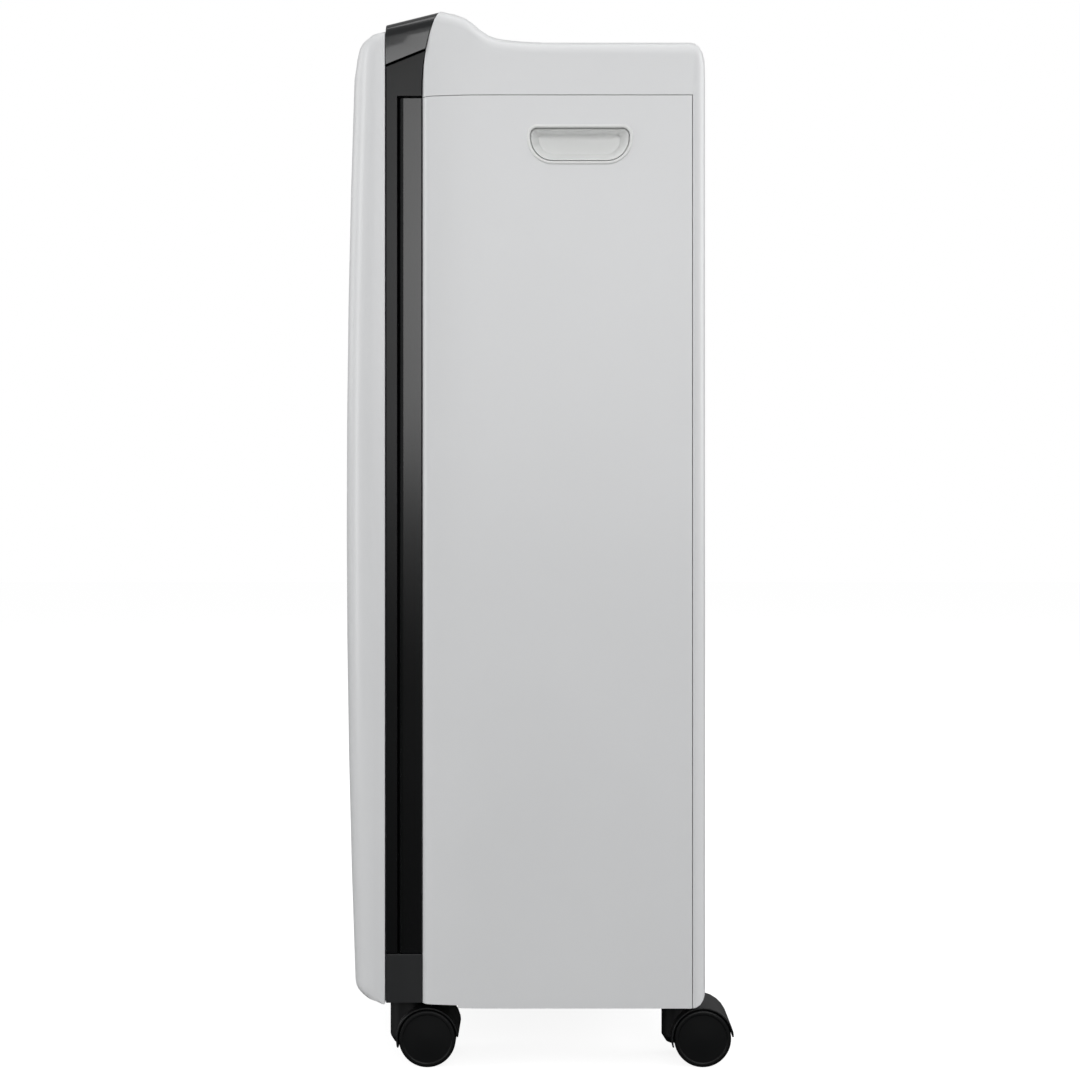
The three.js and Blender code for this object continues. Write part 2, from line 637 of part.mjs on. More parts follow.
const BASE = { low: SKIRT_Z + WALL + SEAM, thick: 2.5, rim: 8 };
const DECK_PLATE = { low: BAY_HIGH + 6, thick: 2.5, rear: REAR_Y - 16.5 };
const COIL = { half: halfWidth - 52, low: DECK_PLATE.low + 32, high: INTAKE.high - 40, bends: 6, plate: 2 };
const CONDENSER = { front: REAR_Y - 72.5, rear: REAR_Y - 48.5 };
const EVAPORATOR = { front: REAR_Y - 40.5, rear: REAR_Y - 18.5 };
const COMPRESSOR = { x: 78 - halfWidth, y: 18, radius: 54, foot: 9, dome: 26, high: SKIRT_Z + 195.5 };
const PIPE = 4;
const TRAY = {
  low: DECK_PLATE.low + 6,
  high: DECK_PLATE.low + 24,
  front: CONDENSER.front - 4,
  rear: EVAPORATOR.rear + 4,
  wall: 2,
};
const SPOUT = { x: (BUCKET.left + BUCKET.right) / 2, y: 60, radius: 5 };
const BLOWER = { z: (DECK_PLATE.low + GRILLE.low) / 2 - 23.5, radius: 78, hub: 34, front: -36, rear: 26 };
const SCROLL = { radius: 98, front: -44, rear: 33, inlet: 66 };
const MOTOR = { radius: 38, length: 46 };
const SHAFT = 4;

const baseHalf = housingHalf(BAND_REAR_Y) - WALL - FIT;
const baseTop = BASE.low + BASE.thick;
const coilPitch = (COIL.high - COIL.low) / COIL.bends;

/** The pan that carries everything, with a socket over each caster and rails under the bucket. */
function basePan() {
  const { low, thick, rim } = BASE;
  const half = baseHalf;
  const [front, rear] = [BAND_FRONT_Y + SEAM + COVER_WALL + FIT, SIDE_REAR_Y - 2];
  const tray = cut(
    box(-half, half, front, rear, low, low + thick + rim),
    box(-half + thick, half - thick, front + thick, rear - thick, low + thick, low + thick + rim + 1),
  );
  const { radius, height, roof } = SOCKET;
  const sockets = casterPlaces.map(([, x, y]) => bar("z", radius, low, low + height, x, y));
  const bores = casterPlaces.map(([, x, y]) => bar("z", STEM.radius + TOUCH, low - 1, low + height - roof, x, y));
  const rails = [BUCKET.left + 40, BUCKET.right - 40].map((x) => {
    return box(x - 2, x + 2, BUCKET.front + 10, rear - thick - 1, low + 1, BUCKET.low - TOUCH);
  });
  return cut(union(tray, ...sockets, ...rails), ...bores);
}

/** The upper deck over bucket and compressor, and the wall between them. */
function innerChassis() {
  const { low, thick, rear } = DECK_PLATE;
  const half = baseHalf - 2;
  const deck = box(-half, half, BAND_REAR_Y + 6, rear, low, low + thick);
  const wall = box(BEZEL.left - 8, BEZEL.left - 5, BAND_REAR_Y + 6, rear, baseTop + TOUCH, low + 1);
  const holes = [
    bar("z", SPOUT.radius + 2, low - 1, low + thick + 1, SPOUT.x, SPOUT.y),
    ...pipeRoutes.map(({ points }) => bar("z", PIPE + 3, low - 1, low + thick + 1, points[3][0], points[3][1])),
  ];
  return cut(union(deck, wall), ...holes);
}

function compressor() {
  const { x, y, radius, foot, dome, high } = COMPRESSOR;
  const low = baseTop + TOUCH;
  const top = arc(0, 0, 1, 0, 1).map(([c, s]) => [radius * c, high - dome + dome * s]);
  const profile = [[0, low], [radius + foot, low], [radius + foot, low + 4], [radius, low + 8], ...top];
  profile[profile.length - 1][0] = 0;
  return turned("z", profile, x, y, 28);
}

/** The routes of the two refrigerant pipes, from the compressor's dome to the ends of the coils. */
const pipeRoutes = [
  { name: "discharge_pipe", coil: CONDENSER, at: -36, out: -COIL.half - 20 },
  { name: "suction_pipe", coil: EVAPORATOR, at: -8, out: -COIL.half - 32 },
].map(({ name, coil, at, out }) => {
  const { x, y, radius, dome, high } = COMPRESSOR;
  const middle = (coil.front + coil.rear) / 2;
  const start = high - fall(Math.abs(at) / radius, dome) + TOUCH + PIPE;
  const entry = COIL.high - coilPitch / 2;
  const points = [
    [x + at, y, start],
    [x + at, y, start + 12],
    [out, middle, DECK_PLATE.low - 16],
    [out, middle, DECK_PLATE.low],
    [out, middle, DECK_PLATE.low + 40],
    [out, middle, entry - 20],
    [out + 6, middle, entry - 4],
    [-COIL.half - 6, middle, entry],
    [-COIL.half + COIL.plate - TOUCH, middle, entry],
  ];
  return { name, points };
});

/** A finned coil as a block, with the return bends of its tubes at both ends. */
function coil({ front, rear }) {
  const { half, low, high, bends, plate } = COIL;
  const middle = (front + rear) / 2;
  const ends = spread(0, bends - 1, bends - 1).flatMap((i) => {
    const z = low + coilPitch * (i + 0.5);
    const sides = i === bends - 1 ? [1] : [-1, 1];
    return sides.map((side) => {
      const across = [side * (half - plate * 2), side * (half + 8)].sort((a, b) => a - b);
      return box(across[0], across[1], middle - PIPE, middle + PIPE, z - coilPitch * 0.3, z + coilPitch * 0.3);
    });
  });
  return union(box(-half + plate, half - plate, front, rear, low, high), ...ends);
}

function drainTray() {
  const { low, high, front, rear, wall } = TRAY;
  const half = COIL.half + 12;
  const tray = cut(
    box(-half, half, front, rear, low, high),
    box(-half + wall, half - wall, front + wall, rear - wall, low + wall, high + 1),
  );
  const spout = bar("z", SPOUT.radius, DECK_PLATE.low - 12, low + 1, SPOUT.x, SPOUT.y, 12);
  return cut(union(tray, spout), bar("z", SPOUT.radius - 1.5, DECK_PLATE.low - 13, high, SPOUT.x, SPOUT.y, 12));
}

/** The snail around the blower, whose duct leans back to the outlet. */
function fanScroll() {
  const { radius, front, rear, inlet } = SCROLL;
  const outletTop = GRILLE.low - 2;
  const shape = (inset) => {
    const duct = [
      [front + inset, BLOWER.z],
      [rear - inset, BLOWER.z],
      [rear - inset, BLOWER.z + radius + 14],
      [OUTLET.rear - 2 - inset, outletTop + inset],
      [OUTLET.front + inset, outletTop + inset],
      [front + inset, BLOWER.z + radius + 14],
    ];
    return union(
      bar("y", radius - inset, front + inset, rear - inset, 0, BLOWER.z, 40),
      prism(duct, "x", -radius + inset, radius - inset),
    );
  };
  const eye = bar("y", inlet, rear - WALL - 1, rear + 1, 0, BLOWER.z);
  const shaftHole = bar("y", SHAFT + 3, front - 1, front + WALL + 1, 0, BLOWER.z);
  return cut(shape(0), shape(WALL), eye, shaftHole);
}

/** The blower wheel: a ring of blades on a back plate and a hub. */
function blowerWheel() {
  const { z, radius, hub, front, rear } = BLOWER;
  const plate = bar("y", radius, front, front + 3, 0, z, 30);
  const boss = bar("y", hub, front, front + 24, 0, z, 20, hub * 0.6);
  const blades = 15;
  const vanes = spread(0, blades - 1, blades - 1).map((i) => {
    const angle = (2 * Math.PI * i) / blades;
    const blade = new THREE.BoxGeometry(14, rear - front - 2, 2.5);
    blade.rotateY(0.7).translate(radius - 9, 0, 0).rotateY(angle);
    blade.translate(0, (front + rear) / 2, z);
    return solidOf(blade);
  });
  const ring = cut(
    bar("y", radius, rear - 5, rear, 0, z, 30),
    bar("y", radius - 5, rear - 6, rear + 1, 0, z, 30),
  );
  const bore = bar("y", SHAFT + FIT, front - 1, front + 30, 0, z, 12);
  return cut(union(plate, boss, ring, ...vanes), bore);
}

function fanMotor() {
  const rear = SCROLL.front - TOUCH;
  const { radius, length } = MOTOR;
  const can = bar("y", radius, rear - length, rear, 0, BLOWER.z, 28);
  return cut(can, bar("y", SHAFT + FIT, rear - length / 2, rear + 1, 0, BLOWER.z, 12));
}

function fanShaft() {
  return bar("y", SHAFT, SCROLL.front - MOTOR.length / 2 + 1, BLOWER.front + 26, 0, BLOWER.z, 12);
}

/** The appliance inlet for a detachable mains lead. */
function powerInlet() {
  const { x, z, width, height } = INLET;
  const [half, tall] = [width / 2 - FIT, height / 2 - FIT];
  const body = box(x - half, x + half, REAR_Y - 26, REAR_Y - 1, z - tall, z + tall);
  const socket = prism(roundedOutline(x - 12, x + 12, z - 8, z + 8, 3), "y", REAR_Y - 18, REAR_Y);
  const pins = [-7, 0, 7].map((place) => {
    return box(x + place - 1, x + place + 1, REAR_Y - 19, REAR_Y - 6, z - 2.5, z + 2.5);
  });
  return union(cut(body, socket), ...pins);
}

/** The rubber plug in the hose outlet. */
function drainPlug() {
  const inner = bar("y", DRAIN.radius - FIT, REAR_Y - 9, REAR_Y + TOUCH, DRAIN.x, DRAIN.z);
  const tab = bar("y", DRAIN.radius + 3, REAR_Y + TOUCH, REAR_Y + 2.5, DRAIN.x, DRAIN.z);
  return union(inner, tab);
}

// ---------------------------------------------------------------- water bucket

const BUCKET_WALL = 2.5;
const PIVOT = { y: 24, z: BUCKET.high - 25, radius: 3 };
const BAIL = { arm: 8, thick: 3.5, grip: 10, clearance: 1.5 };
const FLOAT = { x: BUCKET.right - 30, y: BUCKET.rear - 48, z: BUCKET.high - 37 };
const GRIP = { half: 44, height: 24, depth: 16, z: BEZEL.high - 38 };
// The handle's crosspiece passes over the bucket's front corner with this reach.
const bailReach = Math.hypot(PIVOT.y - BUCKET.front, BUCKET.high - PIVOT.z) + BAIL.clearance;

/** The bucket, open at the top, with holes for its handle. */
function waterBucket() {
  const { left, right, front, rear, low, high, round } = BUCKET;
  const outside = prism(roundedOutline(left, right, front, rear, round), "z", low, high);
  const w = BUCKET_WALL;
  const plan = roundedOutline(left + w, right - w, front + w, rear - w, round - w);
  const inside = prism(plan, "z", low + w, high + 1);
  const pivot = bar("x", PIVOT.radius + FIT, left - 1, right + 1, PIVOT.y, PIVOT.z, 12);
  return cut(outside, inside, pivot);
}

/** The bucket's outer face, which closes the bay, with a finger grip above the water line. */
function bucketFront() {
  const { left, right, low, high, round } = BEZEL;
  const gap = SEAM;
  const front = BUCKET.rear + TOUCH;
  const outline = roundedOutline(left + gap, right - gap, low + gap, high - gap, round - gap);
  const plate = prism(outline, "y", REAR_Y - WALL, REAR_Y);
  const mid = (left + right) / 2;
  const { half, height, depth, z } = GRIP;
  const cup = prism(
    roundedOutline(mid - half - WALL, mid + half + WALL, z - height / 2 - WALL, z + height / 2 + WALL, 8),
    "y",
    REAR_Y - depth - WALL,
    REAR_Y - 1,
  );
  const pocket = prism(
    roundedOutline(mid - half, mid + half, z - height / 2, z + height / 2, 6),
    "y",
    REAR_Y - depth,
    REAR_Y + 1,
  );
  const ribs = [left + 30, right - 30].map((x) => box(x - 2, x + 2, front, REAR_Y - 1, low + 20, BUCKET.high - 10));
  return cut(union(plate, cup, ...ribs), pocket);
}

/** The bucket's carrying handle, folded down to the front. */
function bucketHandle() {
  const { arm, thick, grip } = BAIL;
  const { y, z, radius } = PIVOT;
  const outer = { left: BUCKET.left - TOUCH - thick, right: BUCKET.right + TOUCH + thick };
  const rear = y - bailReach;
  const cross = box(outer.left, outer.right, rear - grip, rear, z - arm / 2, z + arm / 2);
  const arms = [outer.left, outer.right - thick].map((x) => {
    return box(x, x + thick, rear - grip, y + 6, z - arm / 2, z + arm / 2);
  });
  const pins = [
    bar("x", radius, outer.left + 1, BUCKET.left + 5, y, z, 12),
    bar("x", radius, BUCKET.right - 5, outer.right - 1, y, z, 12),
  ];
  return union(cross, ...arms, ...pins);
}

/** The float that rises with the water, on its lever. */
function bucketFloat() {
  const { x, y, z } = FLOAT;
  const block = box(x - 12, x + 12, y - 14, y + 10, z - 30, z - 4);
  const lever = box(x - 3, x + 3, y, y + 38, z - 6, z);
  const barrel = bar("x", 4, x - 8, x + 8, y + 38, z - 3, 12);
  return union(block, lever, barrel);
}

// ---------------------------------------------------------------- casters

// In a caster's own frame the swivel axis is upright at the origin, and the wheels trail behind it along +Y.
const WHEEL = { radius: WHEEL_RADIUS, width: 12.5, edge: 2.5, hub: 8 };
const WEB = 6.6; // half the thickness of the hood's web between the two wheels
const TRAIL = 16;
const HOOD = {
  radius: WHEEL_RADIUS + 2,
  top: SKIRT_Z - 1.3,
  lowAhead: WHEEL_RADIUS - 6.4, // lower edge of the fender on the side of the stem
  lowBehind: WHEEL_RADIUS + 1.7,
  housing: 11.5,
  tip: WHEEL_RADIUS - 6.8,
  tipRadius: 8.5,
  shoulder: WHEEL_RADIUS - 2,
};
const WHEEL_GAP = 0.8; // between the tread and the hood
const AXLE = 2.5;
const STEM = { radius: 4, collar: 7, low: WHEEL_RADIUS + 4 };
const SOCKET = { radius: 9, height: 14, roof: 3 };
const CASTER_X = halfWidth - 29;
const CASTER_FRONT_Y = BAND_REAR_Y - 13;
const CASTER_REAR_Y = REAR_Y - 17.5;
const casterPlaces = [
  ["caster_front_left", -CASTER_X, CASTER_FRONT_Y],
  ["caster_front_right", CASTER_X, CASTER_FRONT_Y],
  ["caster_rear_left", -CASTER_X, CASTER_REAR_Y],
  ["caster_rear_right", CASTER_X, CASTER_REAR_Y],
];

/** The hood: a fender over both wheels, a web between them and the housing of the stem. */
function casterHood() {
  const half = WEB + TOUCH + WHEEL.width;
  const { radius, top, lowAhead, lowBehind, housing, tip, tipRadius, shoulder } = HOOD;
  const drum = bar("x", radius, -half, half, TRAIL, WHEEL.radius, BIG_ROUND);
  const [ahead, behind] = [TRAIL - radius - 1, TRAIL + radius + 1];
  const kept = [[ahead, lowAhead], [behind, lowBehind], [behind, top], [ahead, top]];
  const fender = drum.intersect(prism(kept, "x", -half - 1, half + 1));
  const hub = bar("x", WHEEL.hub, -WEB, WEB, TRAIL, WHEEL.radius);
  const upper = bar("z", housing, shoulder, top, 0, 0);
  const lower = bar("z", tipRadius, tip, shoulder, 0, 0, ROUND, housing);
  const wells = [[-50, -WEB], [WEB, 50]].map(([from, to]) => {
    return bar("x", WHEEL.radius + WHEEL_GAP, from, to, TRAIL, WHEEL.radius, BIG_ROUND);
  });
  const stemBore = bar("z", STEM.radius + FIT, STEM.low - TOUCH, top + 1, 0, 0);
  const axleBore = bar("x", AXLE + FIT, -half, half, TRAIL, WHEEL.radius, 12);
  return cut(union(fender, hub, upper, lower), ...wells, stemBore, axleBore);
}

/** The stem, pressed into the base, that the hood turns on. */
function casterStem() {
  const { radius, collar, low } = STEM;
  const high = BASE.low + SOCKET.height - SOCKET.roof - TOUCH;
  return union(
    bar("z", radius, low, high, 0, 0),
    bar("z", collar, HOOD.top + TOUCH, BASE.low - TOUCH, 0, 0),
  );
}

function casterAxle() {
  const half = WEB + WHEEL.width - 1.5;
  return bar("x", AXLE, -half, half, TRAIL, WHEEL.radius, 12);
}

/** One of the two wheels, on the side that its sign says. */
function casterWheel(side) {
  const { radius, width, edge } = WHEEL;
  const inner = WEB + TOUCH;
  const outer = inner + width;
  const profile = [
    [0, inner],
    [radius - edge, inner],
    [radius, inner + edge],
    [radius, outer - edge],
    [radius - edge, outer],
    [0, outer],
  ];
  const wheel = turned("x", profile, TRAIL, WHEEL.radius, 24);
  const bored = cut(wheel, bar("x", AXLE + TOUCH, 0, outer - 1, TRAIL, WHEEL.radius, 12));
  return side > 0 ? bored : mirrored(bored);
}

function caster(name, x, y) {
  const group = new THREE.Group();
  const outward = Math.sign(x);
  group.add(
    piece(`${name}_hood`, casterHood(), blackTextured),
    piece(`${name}_stem`, casterStem(), steel),
    piece(`${name}_axle`, casterAxle(), steel),
    piece(`${name}_wheel_outer`, casterWheel(outward), rubber),
    piece(`${name}_wheel_inner`, casterWheel(-outward), rubber),
  );
  group.position.set(x, y, 0);
  return group;
}

// ---------------------------------------------------------------- assembly

const part = new THREE.Group();

part.add(
  piece("rear_housing", rearHousing(), whiteCover),
  ...pair("side_panel", sidePanel(), whiteCover),
  ...pair("handle_cup", handleCup(), whiteCover),
  piece("front_cover", frontCover(), whiteCover),
  piece("front_frame", frontFrame(), blackGloss),
  ...pair("side_trim", sideTrim(), blackGloss),
  piece("base_trim", baseTrim(), blackSatin),
  piece("base_pan", basePan(), blackTextured),
);

part.add(
  piece("control_panel", controlPanel(), blackGloss),
  piece("display_window", displayWindow(), blackGloss),
  piece("control_board", controlBoard(), boardGreen),
  ...Object.entries(BUTTONS).map(([name, x]) => piece(name, button(x), blackSatin)),
);

part.add(
  piece("louver_flap", louverFlap(), whiteCover),
  piece("outlet_grille", outletGrille(), blackTextured),
  piece("intake_grille", intakeGrille(), whiteCover),
  piece("air_filter", airFilter(), foam),
);

part.add(
  piece("inner_chassis", innerChassis(), greyPlastic),
  piece("compressor", compressor(), blackPaint),
  ...pipeRoutes.map(({ name, points }) => piece(name, pipe(points, PIPE, 18), copper)),
  piece("condenser_coil", coil(CONDENSER), aluminium),
  piece("evaporator_coil", coil(EVAPORATOR), aluminium),
  piece("drain_tray", drainTray(), greyPlastic),
  piece("fan_scroll", fanScroll(), greyPlastic),
  piece("blower_wheel", blowerWheel(), blackTextured),
  piece("fan_motor", fanMotor(), steel),
  piece("fan_shaft", fanShaft(), steel),
  piece("power_inlet", powerInlet(), blackTextured),
  piece("drain_plug", drainPlug(), rubber),
);

part.add(
  piece("water_bucket", waterBucket(), clearTank),
  piece("bucket_front", bucketFront(), whiteCover),
  piece("bucket_handle", bucketHandle(), greyPlastic),
  piece("bucket_float", bucketFloat(), whiteCover),
);

part.add(...casterPlaces.map(([name, x, y]) => caster(name, x, y)));

export default part;
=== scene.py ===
"""A tall slim dehumidifier on twin-wheel casters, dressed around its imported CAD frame."""

from __future__ import annotations

import json
import logging
import math
from dataclasses import dataclass
from enum import Enum
from typing import Callable, Iterable, Sequence

import bmesh
import bpy
from mathutils import Matrix, Vector


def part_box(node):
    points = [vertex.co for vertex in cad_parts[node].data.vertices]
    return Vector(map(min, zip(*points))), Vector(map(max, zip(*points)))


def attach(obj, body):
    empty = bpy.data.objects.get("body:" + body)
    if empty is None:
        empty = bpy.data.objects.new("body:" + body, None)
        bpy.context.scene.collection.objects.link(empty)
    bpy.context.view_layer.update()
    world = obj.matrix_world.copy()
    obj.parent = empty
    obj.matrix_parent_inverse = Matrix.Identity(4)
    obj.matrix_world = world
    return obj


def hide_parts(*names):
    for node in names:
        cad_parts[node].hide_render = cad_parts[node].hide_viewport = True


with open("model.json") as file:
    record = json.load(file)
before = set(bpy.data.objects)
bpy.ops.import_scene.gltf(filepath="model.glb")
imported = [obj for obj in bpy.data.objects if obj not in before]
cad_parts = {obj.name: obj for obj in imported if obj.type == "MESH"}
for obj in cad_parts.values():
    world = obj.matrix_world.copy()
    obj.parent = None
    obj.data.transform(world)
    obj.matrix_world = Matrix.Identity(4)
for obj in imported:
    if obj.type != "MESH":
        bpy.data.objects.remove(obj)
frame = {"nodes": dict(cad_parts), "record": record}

MM = 0.001
log = logging.getLogger("dehumidifier")

Piece = bpy.types.Object
Tree = bpy.types.NodeTree
Socket = bpy.types.NodeSocket
BMesh = bmesh.types.BMesh
Point = tuple[float, float, float]
Ring = list[Point]
Outline = Sequence[tuple[float, float]]


# ---- finishes


class Surface(Enum):
    """How a surface was made, which decides the relief and the colour pattern it shows."""

    POLISHED = "polished tool"
    SATIN = "fine satin tool"
    SPARKED = "spark-eroded tool"
    BRUSHED = "brushed or drawn"
    CAST_FILM = "enamel film"
    WOVEN = "woven net"


def to_linear(code: str) -> tuple[float, float, float, float]:
    """Turns an sRGB hex colour into linear light.

    Args:
        code: six hex digits after a hash sign.

    Returns:
        Red, green, blue and an alpha of one.
    """
    values = [int(code[i : i + 2], 16) / 255 for i in (1, 3, 5)]
    linear = [v / 12.92 if v <= 0.04045 else ((v + 0.055) / 1.055) ** 2.4 for v in values]
    return (linear[0], linear[1], linear[2], 1.0)


def add_node(tree: Tree, kind: str, inputs: dict | None = None, **settings: object) -> bpy.types.Node:
    """Adds a node with its settings, input values and incoming links.

    Args:
        tree: the tree to add to.
        kind: Blender's name of the node type.
        inputs: socket name or number to a value, or to an output socket to link from.
        settings: properties of the node.

    Returns:
        The new node.
    """
    node = tree.nodes.new(kind)
    for name, value in settings.items():
        setattr(node, name, value)
    for name, value in (inputs or {}).items():
        if isinstance(value, Socket):
            tree.links.new(value, node.inputs[name])
        else:
            node.inputs[name].default_value = value
    return node


@dataclass(frozen=True)
class Finish:
    """A real material and how its surface was made.

    The grain is the size of the relief and the relief its height, both in millimetres.
    The drift is how far lightness and gloss wander over the surface.
    """

    name: str
    colour: str
    roughness: float
    slot: str
    surface: Surface = Surface.SATIN
    grain: float = 1.0
    relief: float = 0.01
    drift: float = 0.03
    metallic: float = 0.0
    specular: float = 0.5
    coat: float = 0.0
    transmission: float = 0.0
    glow: float = 0.0
    scatter: float = 0.0

    def material(self) -> bpy.types.Material:
        """Returns the material of this finish, made once and shared."""
        known = bpy.data.materials.get(self.name)
        return known if known else self._make()

    def _make(self) -> bpy.types.Material:
        """Builds the node tree: colour and gloss that drift a little, and the surface's own relief."""
        made = bpy.data.materials.new(self.name)
        made.use_nodes = True
        tree = made.node_tree
        tree.nodes.clear()
        place = add_node(tree, "ShaderNodeTexCoord").outputs["Object"]
        shader = add_node(tree, "ShaderNodeBsdfPrincipled")
        output = add_node(tree, "ShaderNodeOutputMaterial")
        tree.links.new(shader.outputs["BSDF"], output.inputs["Surface"])

        cloud = add_node(tree, "ShaderNodeTexNoise", {"Vector": place, "Scale": 9.0, "Detail": 2.0})
        lightness = self._drifting(tree, cloud, 1 - self.drift, 1.0)
        colour = {0: to_linear(self.colour)[:3], "Scale": lightness}
        tint = add_node(tree, "ShaderNodeVectorMath", colour, operation="SCALE")
        tree.links.new(tint.outputs["Vector"], shader.inputs["Base Color"])
        limits = (self.roughness * (1 - self.drift), self.roughness * (1 + 2 * self.drift))
        tree.links.new(self._drifting(tree, cloud, *limits), shader.inputs["Roughness"])
        height = {"Height": self._relief(tree, place), "Strength": 1.0, "Distance": self.relief * MM}
        bump = add_node(tree, "ShaderNodeBump", height)
        tree.links.new(bump.outputs["Normal"], shader.inputs["Normal"])

        values = {
            "Metallic": self.metallic,
            "Coat Weight": self.coat,
            "Coat Roughness": 0.04,
            "Transmission Weight": self.transmission,
            "Subsurface Weight": self.scatter,
            "Subsurface Radius": (1.0, 1.0, 1.0),
            "Subsurface Scale": 2 * MM,
        }
        if not self.metallic:
            values["Specular IOR Level"] = self.specular
        if self.glow:
            values |= {"Emission Color": to_linear(self.colour), "Emission Strength": self.glow}
        for name, value in values.items():
            shader.inputs[name].default_value = value
        return made

    @staticmethod
    def _drifting(tree: Tree, cloud: bpy.types.Node, low: float, high: float) -> Socket:
        """Adds a value that wanders between two limits with the cloud.

        Args:
            tree: the material's tree.
            cloud: the noise that it follows.
            low: its lowest usual value.
            high: its highest usual value.

        Returns:
            The socket that gives the value.
        """
        values = {"From Min": 0.3, "From Max": 0.7, "To Min": low, "To Max": high}
        values["Value"] = cloud.outputs["Fac"]
        return add_node(tree, "ShaderNodeMapRange", values).outputs["Result"]

    def _relief(self, tree: Tree, place: Socket) -> Socket:
        """Adds the height pattern of this surface.

        Args:
            tree: the material's tree.
            place: the coordinates to read.

        Returns:
            The socket that gives the height.
        """
        per_metre = 1 / (self.grain * MM)
        even = {"Vector": place, "Scale": per_metre}
        if self.surface is Surface.BRUSHED:
            stretch = {"Vector": place, "Scale": (per_metre, per_metre / 30, per_metre)}
            drawn = add_node(tree, "ShaderNodeMapping", stretch).outputs["Vector"]
            return add_node(tree, "ShaderNodeTexNoise", {"Vector": drawn, "Scale": 1.0}).outputs["Fac"]
        if self.surface is Surface.WOVEN:
            bands = {"Vector": place, "Scale": per_metre / 20, "Distortion": 0.0}
            waves = [add_node(tree, "ShaderNodeTexWave", bands, bands_direction=axis) for axis in "XZ"]
            both = {i: wave.outputs["Fac"] for i, wave in enumerate(waves)}
            return add_node(tree, "ShaderNodeMath", both, operation="MAXIMUM").outputs["Value"]
        if self.surface is Surface.SPARKED:
            return add_node(tree, "ShaderNodeTexVoronoi", even, feature="SMOOTH_F1").outputs["Distance"]
        smooth = self.surface in (Surface.POLISHED, Surface.CAST_FILM)
        return add_node(tree, "ShaderNodeTexNoise", even | {"Detail": 1.0 if smooth else 4.0}).outputs["Fac"]


# White ABS from a lapped steel tool: semi-gloss, with a faint orange peel that only reflections show.
WHITE_ABS = Finish(
    "abs_moulded_white", "#ECEDEE", 0.34, "white_cover", Surface.SATIN, 1.6, 0.004, 0.02, scatter=0.15
)
# The same resin, a little rougher. Its colour is painted lighter than the covers' white: painted light
# against the shade inside the carry recesses. The float uses it too.
WHITE_ABS_PAINTED_LIGHT = Finish(
    "abs_moulded_white_painted_light", "#F3F4F3", 0.42, "white_cover", Surface.SATIN, 0.8, 0.008, 0.02, scatter=0.15
)
# Black ABS from a mirror-polished tool: deep, with clean reflections.
PIANO_BLACK = Finish(
    "abs_piano_black", "#0B0C0D", 0.21, "black_gloss", Surface.POLISHED, 30.0, 0.002, 0.05, specular=0.6
)
# The same resin inside the front joint, which the tool leaves a little duller.
FRAME_BLACK = Finish(
    "abs_black_frame", "#0B0C0D", 0.3, "black_gloss", Surface.POLISHED, 20.0, 0.002, 0.05, specular=0.3
)
# A lightly smoked cap over the controls, whose top catches the light.
SMOKED_CAP = Finish(
    "acrylic_smoked_cap", "#131517", 0.2, "black_gloss", Surface.POLISHED, 30.0, 0.002, 0.05, coat=0.6
)
# Satin black ABS, for trim and keys.
SATIN_BLACK = Finish("abs_satin_black", "#2C2D2E", 0.36, "black_satin", Surface.SATIN, 0.6, 0.006, 0.04)
# Black polypropylene from a spark-eroded tool: a pebbled matt.
SPARKED_BLACK = Finish(
    "polypropylene_sparked_black", "#0F1011", 0.46, "black_textured", Surface.SPARKED, 0.9, 0.02, 0.06
)
# Nylon tread, satin from rolling.
NYLON_TREAD = Finish(
    "nylon_moulded_tread", "#0B0C0D", 0.45, "soft_tread", Surface.SATIN, 0.7, 0.01, 0.08, specular=0.3
)
# Soft black rubber with a dusty matt.
SOFT_RUBBER = Finish("rubber_moulded_black", "#1E1F20", 0.7, "soft_tread", Surface.SATIN, 0.5, 0.02, 0.08)
# Grey polypropylene of inner ducts.
GREY_PP = Finish(
    "polypropylene_moulded_grey", "#8C9094", 0.5, "grey_plastic", Surface.SATIN, 1.0, 0.012, 0.04
)
# Translucent polypropylene, milky where it is thick.
MILKY_PP = Finish(
    "polypropylene_translucent", "#DCE4E8", 0.3, "clear_tank", Surface.SATIN, 1.2, 0.01, 0.03,
    transmission=0.35, scatter=0.4,
)
# Nylon net, threads 0.3 mm thick and 1.2 mm apart.
NYLON_NET = Finish("nylon_woven_net", "#33373C", 0.8, "filter_mesh", Surface.WOVEN, 1.2, 0.3, 0.1)
# Glass-epoxy board under green solder resist.
CIRCUIT_BOARD = Finish(
    "epoxy_board_green", "#1B5136", 0.35, "circuit_board", Surface.CAST_FILM, 2.0, 0.02, 0.12
)
# Zinc-plated steel, drawn.
ZINC_STEEL = Finish(
    "steel_zinc_plated", "#B7BBC1", 0.32, "steel", Surface.BRUSHED, 0.3, 0.01, 0.08, metallic=1.0
)
# Bare aluminium fin stock, rolled.
FIN_STOCK = Finish(
    "aluminium_rolled_fins", "#CDD0D3", 0.36, "aluminium_fin", Surface.BRUSHED, 0.4, 0.01, 0.06, metallic=1.0
)
# Drawn copper tube, slightly dulled.
COPPER_TUBE = Finish(
    "copper_drawn_tube", "#B87350", 0.3, "copper_pipe", Surface.BRUSHED, 0.5, 0.01, 0.14, metallic=1.0
)
# Black enamel baked on a pressed steel shell, with a slight orange peel.
BLACK_ENAMEL = Finish(
    "enamel_black_baked", "#131415", 0.24, "black_enamel", Surface.CAST_FILM, 3.0, 0.03, 0.05, coat=0.4
)
# Brass pins of the mains inlet, nickel-plated.
NICKEL_PIN = Finish(
    "brass_nickel_plated", "#C9C6BD", 0.22, "steel", Surface.BRUSHED, 0.2, 0.004, 0.05, metallic=1.0
)
